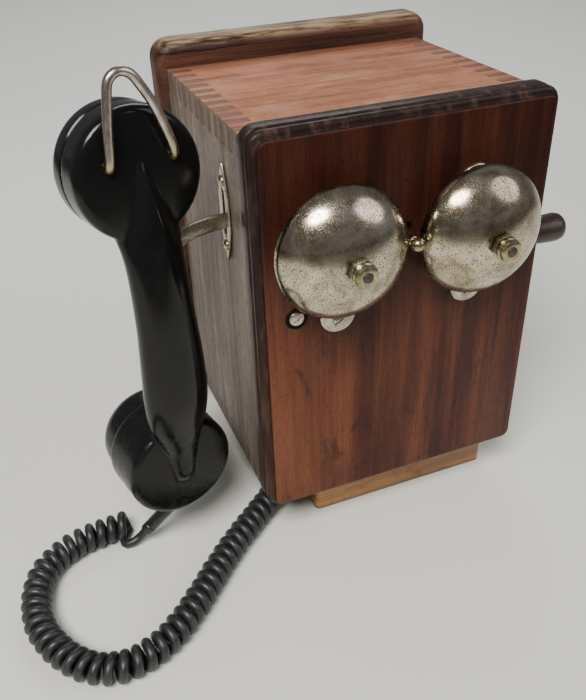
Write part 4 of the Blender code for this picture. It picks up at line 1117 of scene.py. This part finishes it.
# ---------------- crank, hook and the works
def make_knob():
    """Turned wooden knob of the crank."""
    low, high = span("crank_knob")
    length = high.x - low.x
    middle = (low + high) / 2
    outer = [(5.8, 0.0), (6.2, 0.25), (6.6, 1.0), (6.9, 2.4), (7.3, 6.0), (7.9, length * 0.34),
             (8.3, length * 0.52), (8.55, length * 0.7), (8.6, length * 0.8), (8.35, length - 4.0),
             (7.8, length - 2.2), (6.8, length - 1.0), (5.1, length - 0.3), (2.7, length - 0.05), (0, length)]
    profile = [(0, length - 5.7), (2.3, length - 5.7), (2.3, 0.0)] + outer
    shape = moved(lathe(profile, 48), facing((1, 0, 0), (low.x, middle.y, middle.z)))
    knob = make("knob_fine", shape, LOOKS["knob"], "knob")
    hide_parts("crank_knob")


def dress_works():
    """Looks and soft edges for the metal and electrical parts that keep their CAD shape."""
    plain = {
        "hook": ("switch_hook", "crank_arm"),
        "plate": ("slot_plate",),
        "brass": ("crank_bush", "drive_gear", "pinion", "generator_end_left", "generator_end_right",
                  "hook_bracket", "ringer_bracket", "hinge_leaf_case_lower", "hinge_leaf_case_upper",
                  "hinge_leaf_door_lower", "hinge_leaf_door_upper"),
        "iron": ("generator_base", "generator_poles", "ringer_yoke", "ringer_armature", "hook_contacts"),
        "steel": ("crank_shaft", "generator_rotor"),
        "magnet": ("generator_magnet_1", "generator_magnet_2"),
        "tape": ("induction_coil", "ringer_coil_left", "ringer_coil_right"),
        "can": ("capacitor",),
        "bakelite": ("terminal_strip",),
        "sleeve": ("cord_gland",),
    }
    for look, nodes in plain.items():
        for node in nodes:
            paint(node, look)
            if node not in ("drive_gear", "pinion"):
                round_edges(NODES[node], 0.3)


def make_small_screws():
    """Screws of the slot plate, which stand on its outer face."""
    low, high = span("slot_plate")
    mid_y = (low.y + high.y) / 2
    for label, z, angle in (("upper", high.z - 9.5, 20), ("lower", low.z + 9.0, 60)):
        screw_head("slot_plate_screw_" + label, (low.x, mid_y, z), (-1, 0, 0), 3.1, angle, LOOKS["nut"],
                   "case")


# ---------------- the telephone
make_camera()
make_cord()
dress_case()
make_door()
make_gongs()
make_lock()
make_clapper()
make_handset()
make_knob()
dress_works()
make_small_screws()
make_floor()
make_light("key", (-700, -900, 1500), (900, 700), 43.0, (1.0, 0.98, 0.95), (0, 0, 120))
make_light("fill", (900, -700, 900), (900, 900), 5.0, (0.93, 0.97, 1.0), (0, 0, 120))
make_light("back", (500, 1700, 1500), (1400, 1200), 13.0, (1.0, 1.0, 0.97), (150, 900, 0))
make_world()
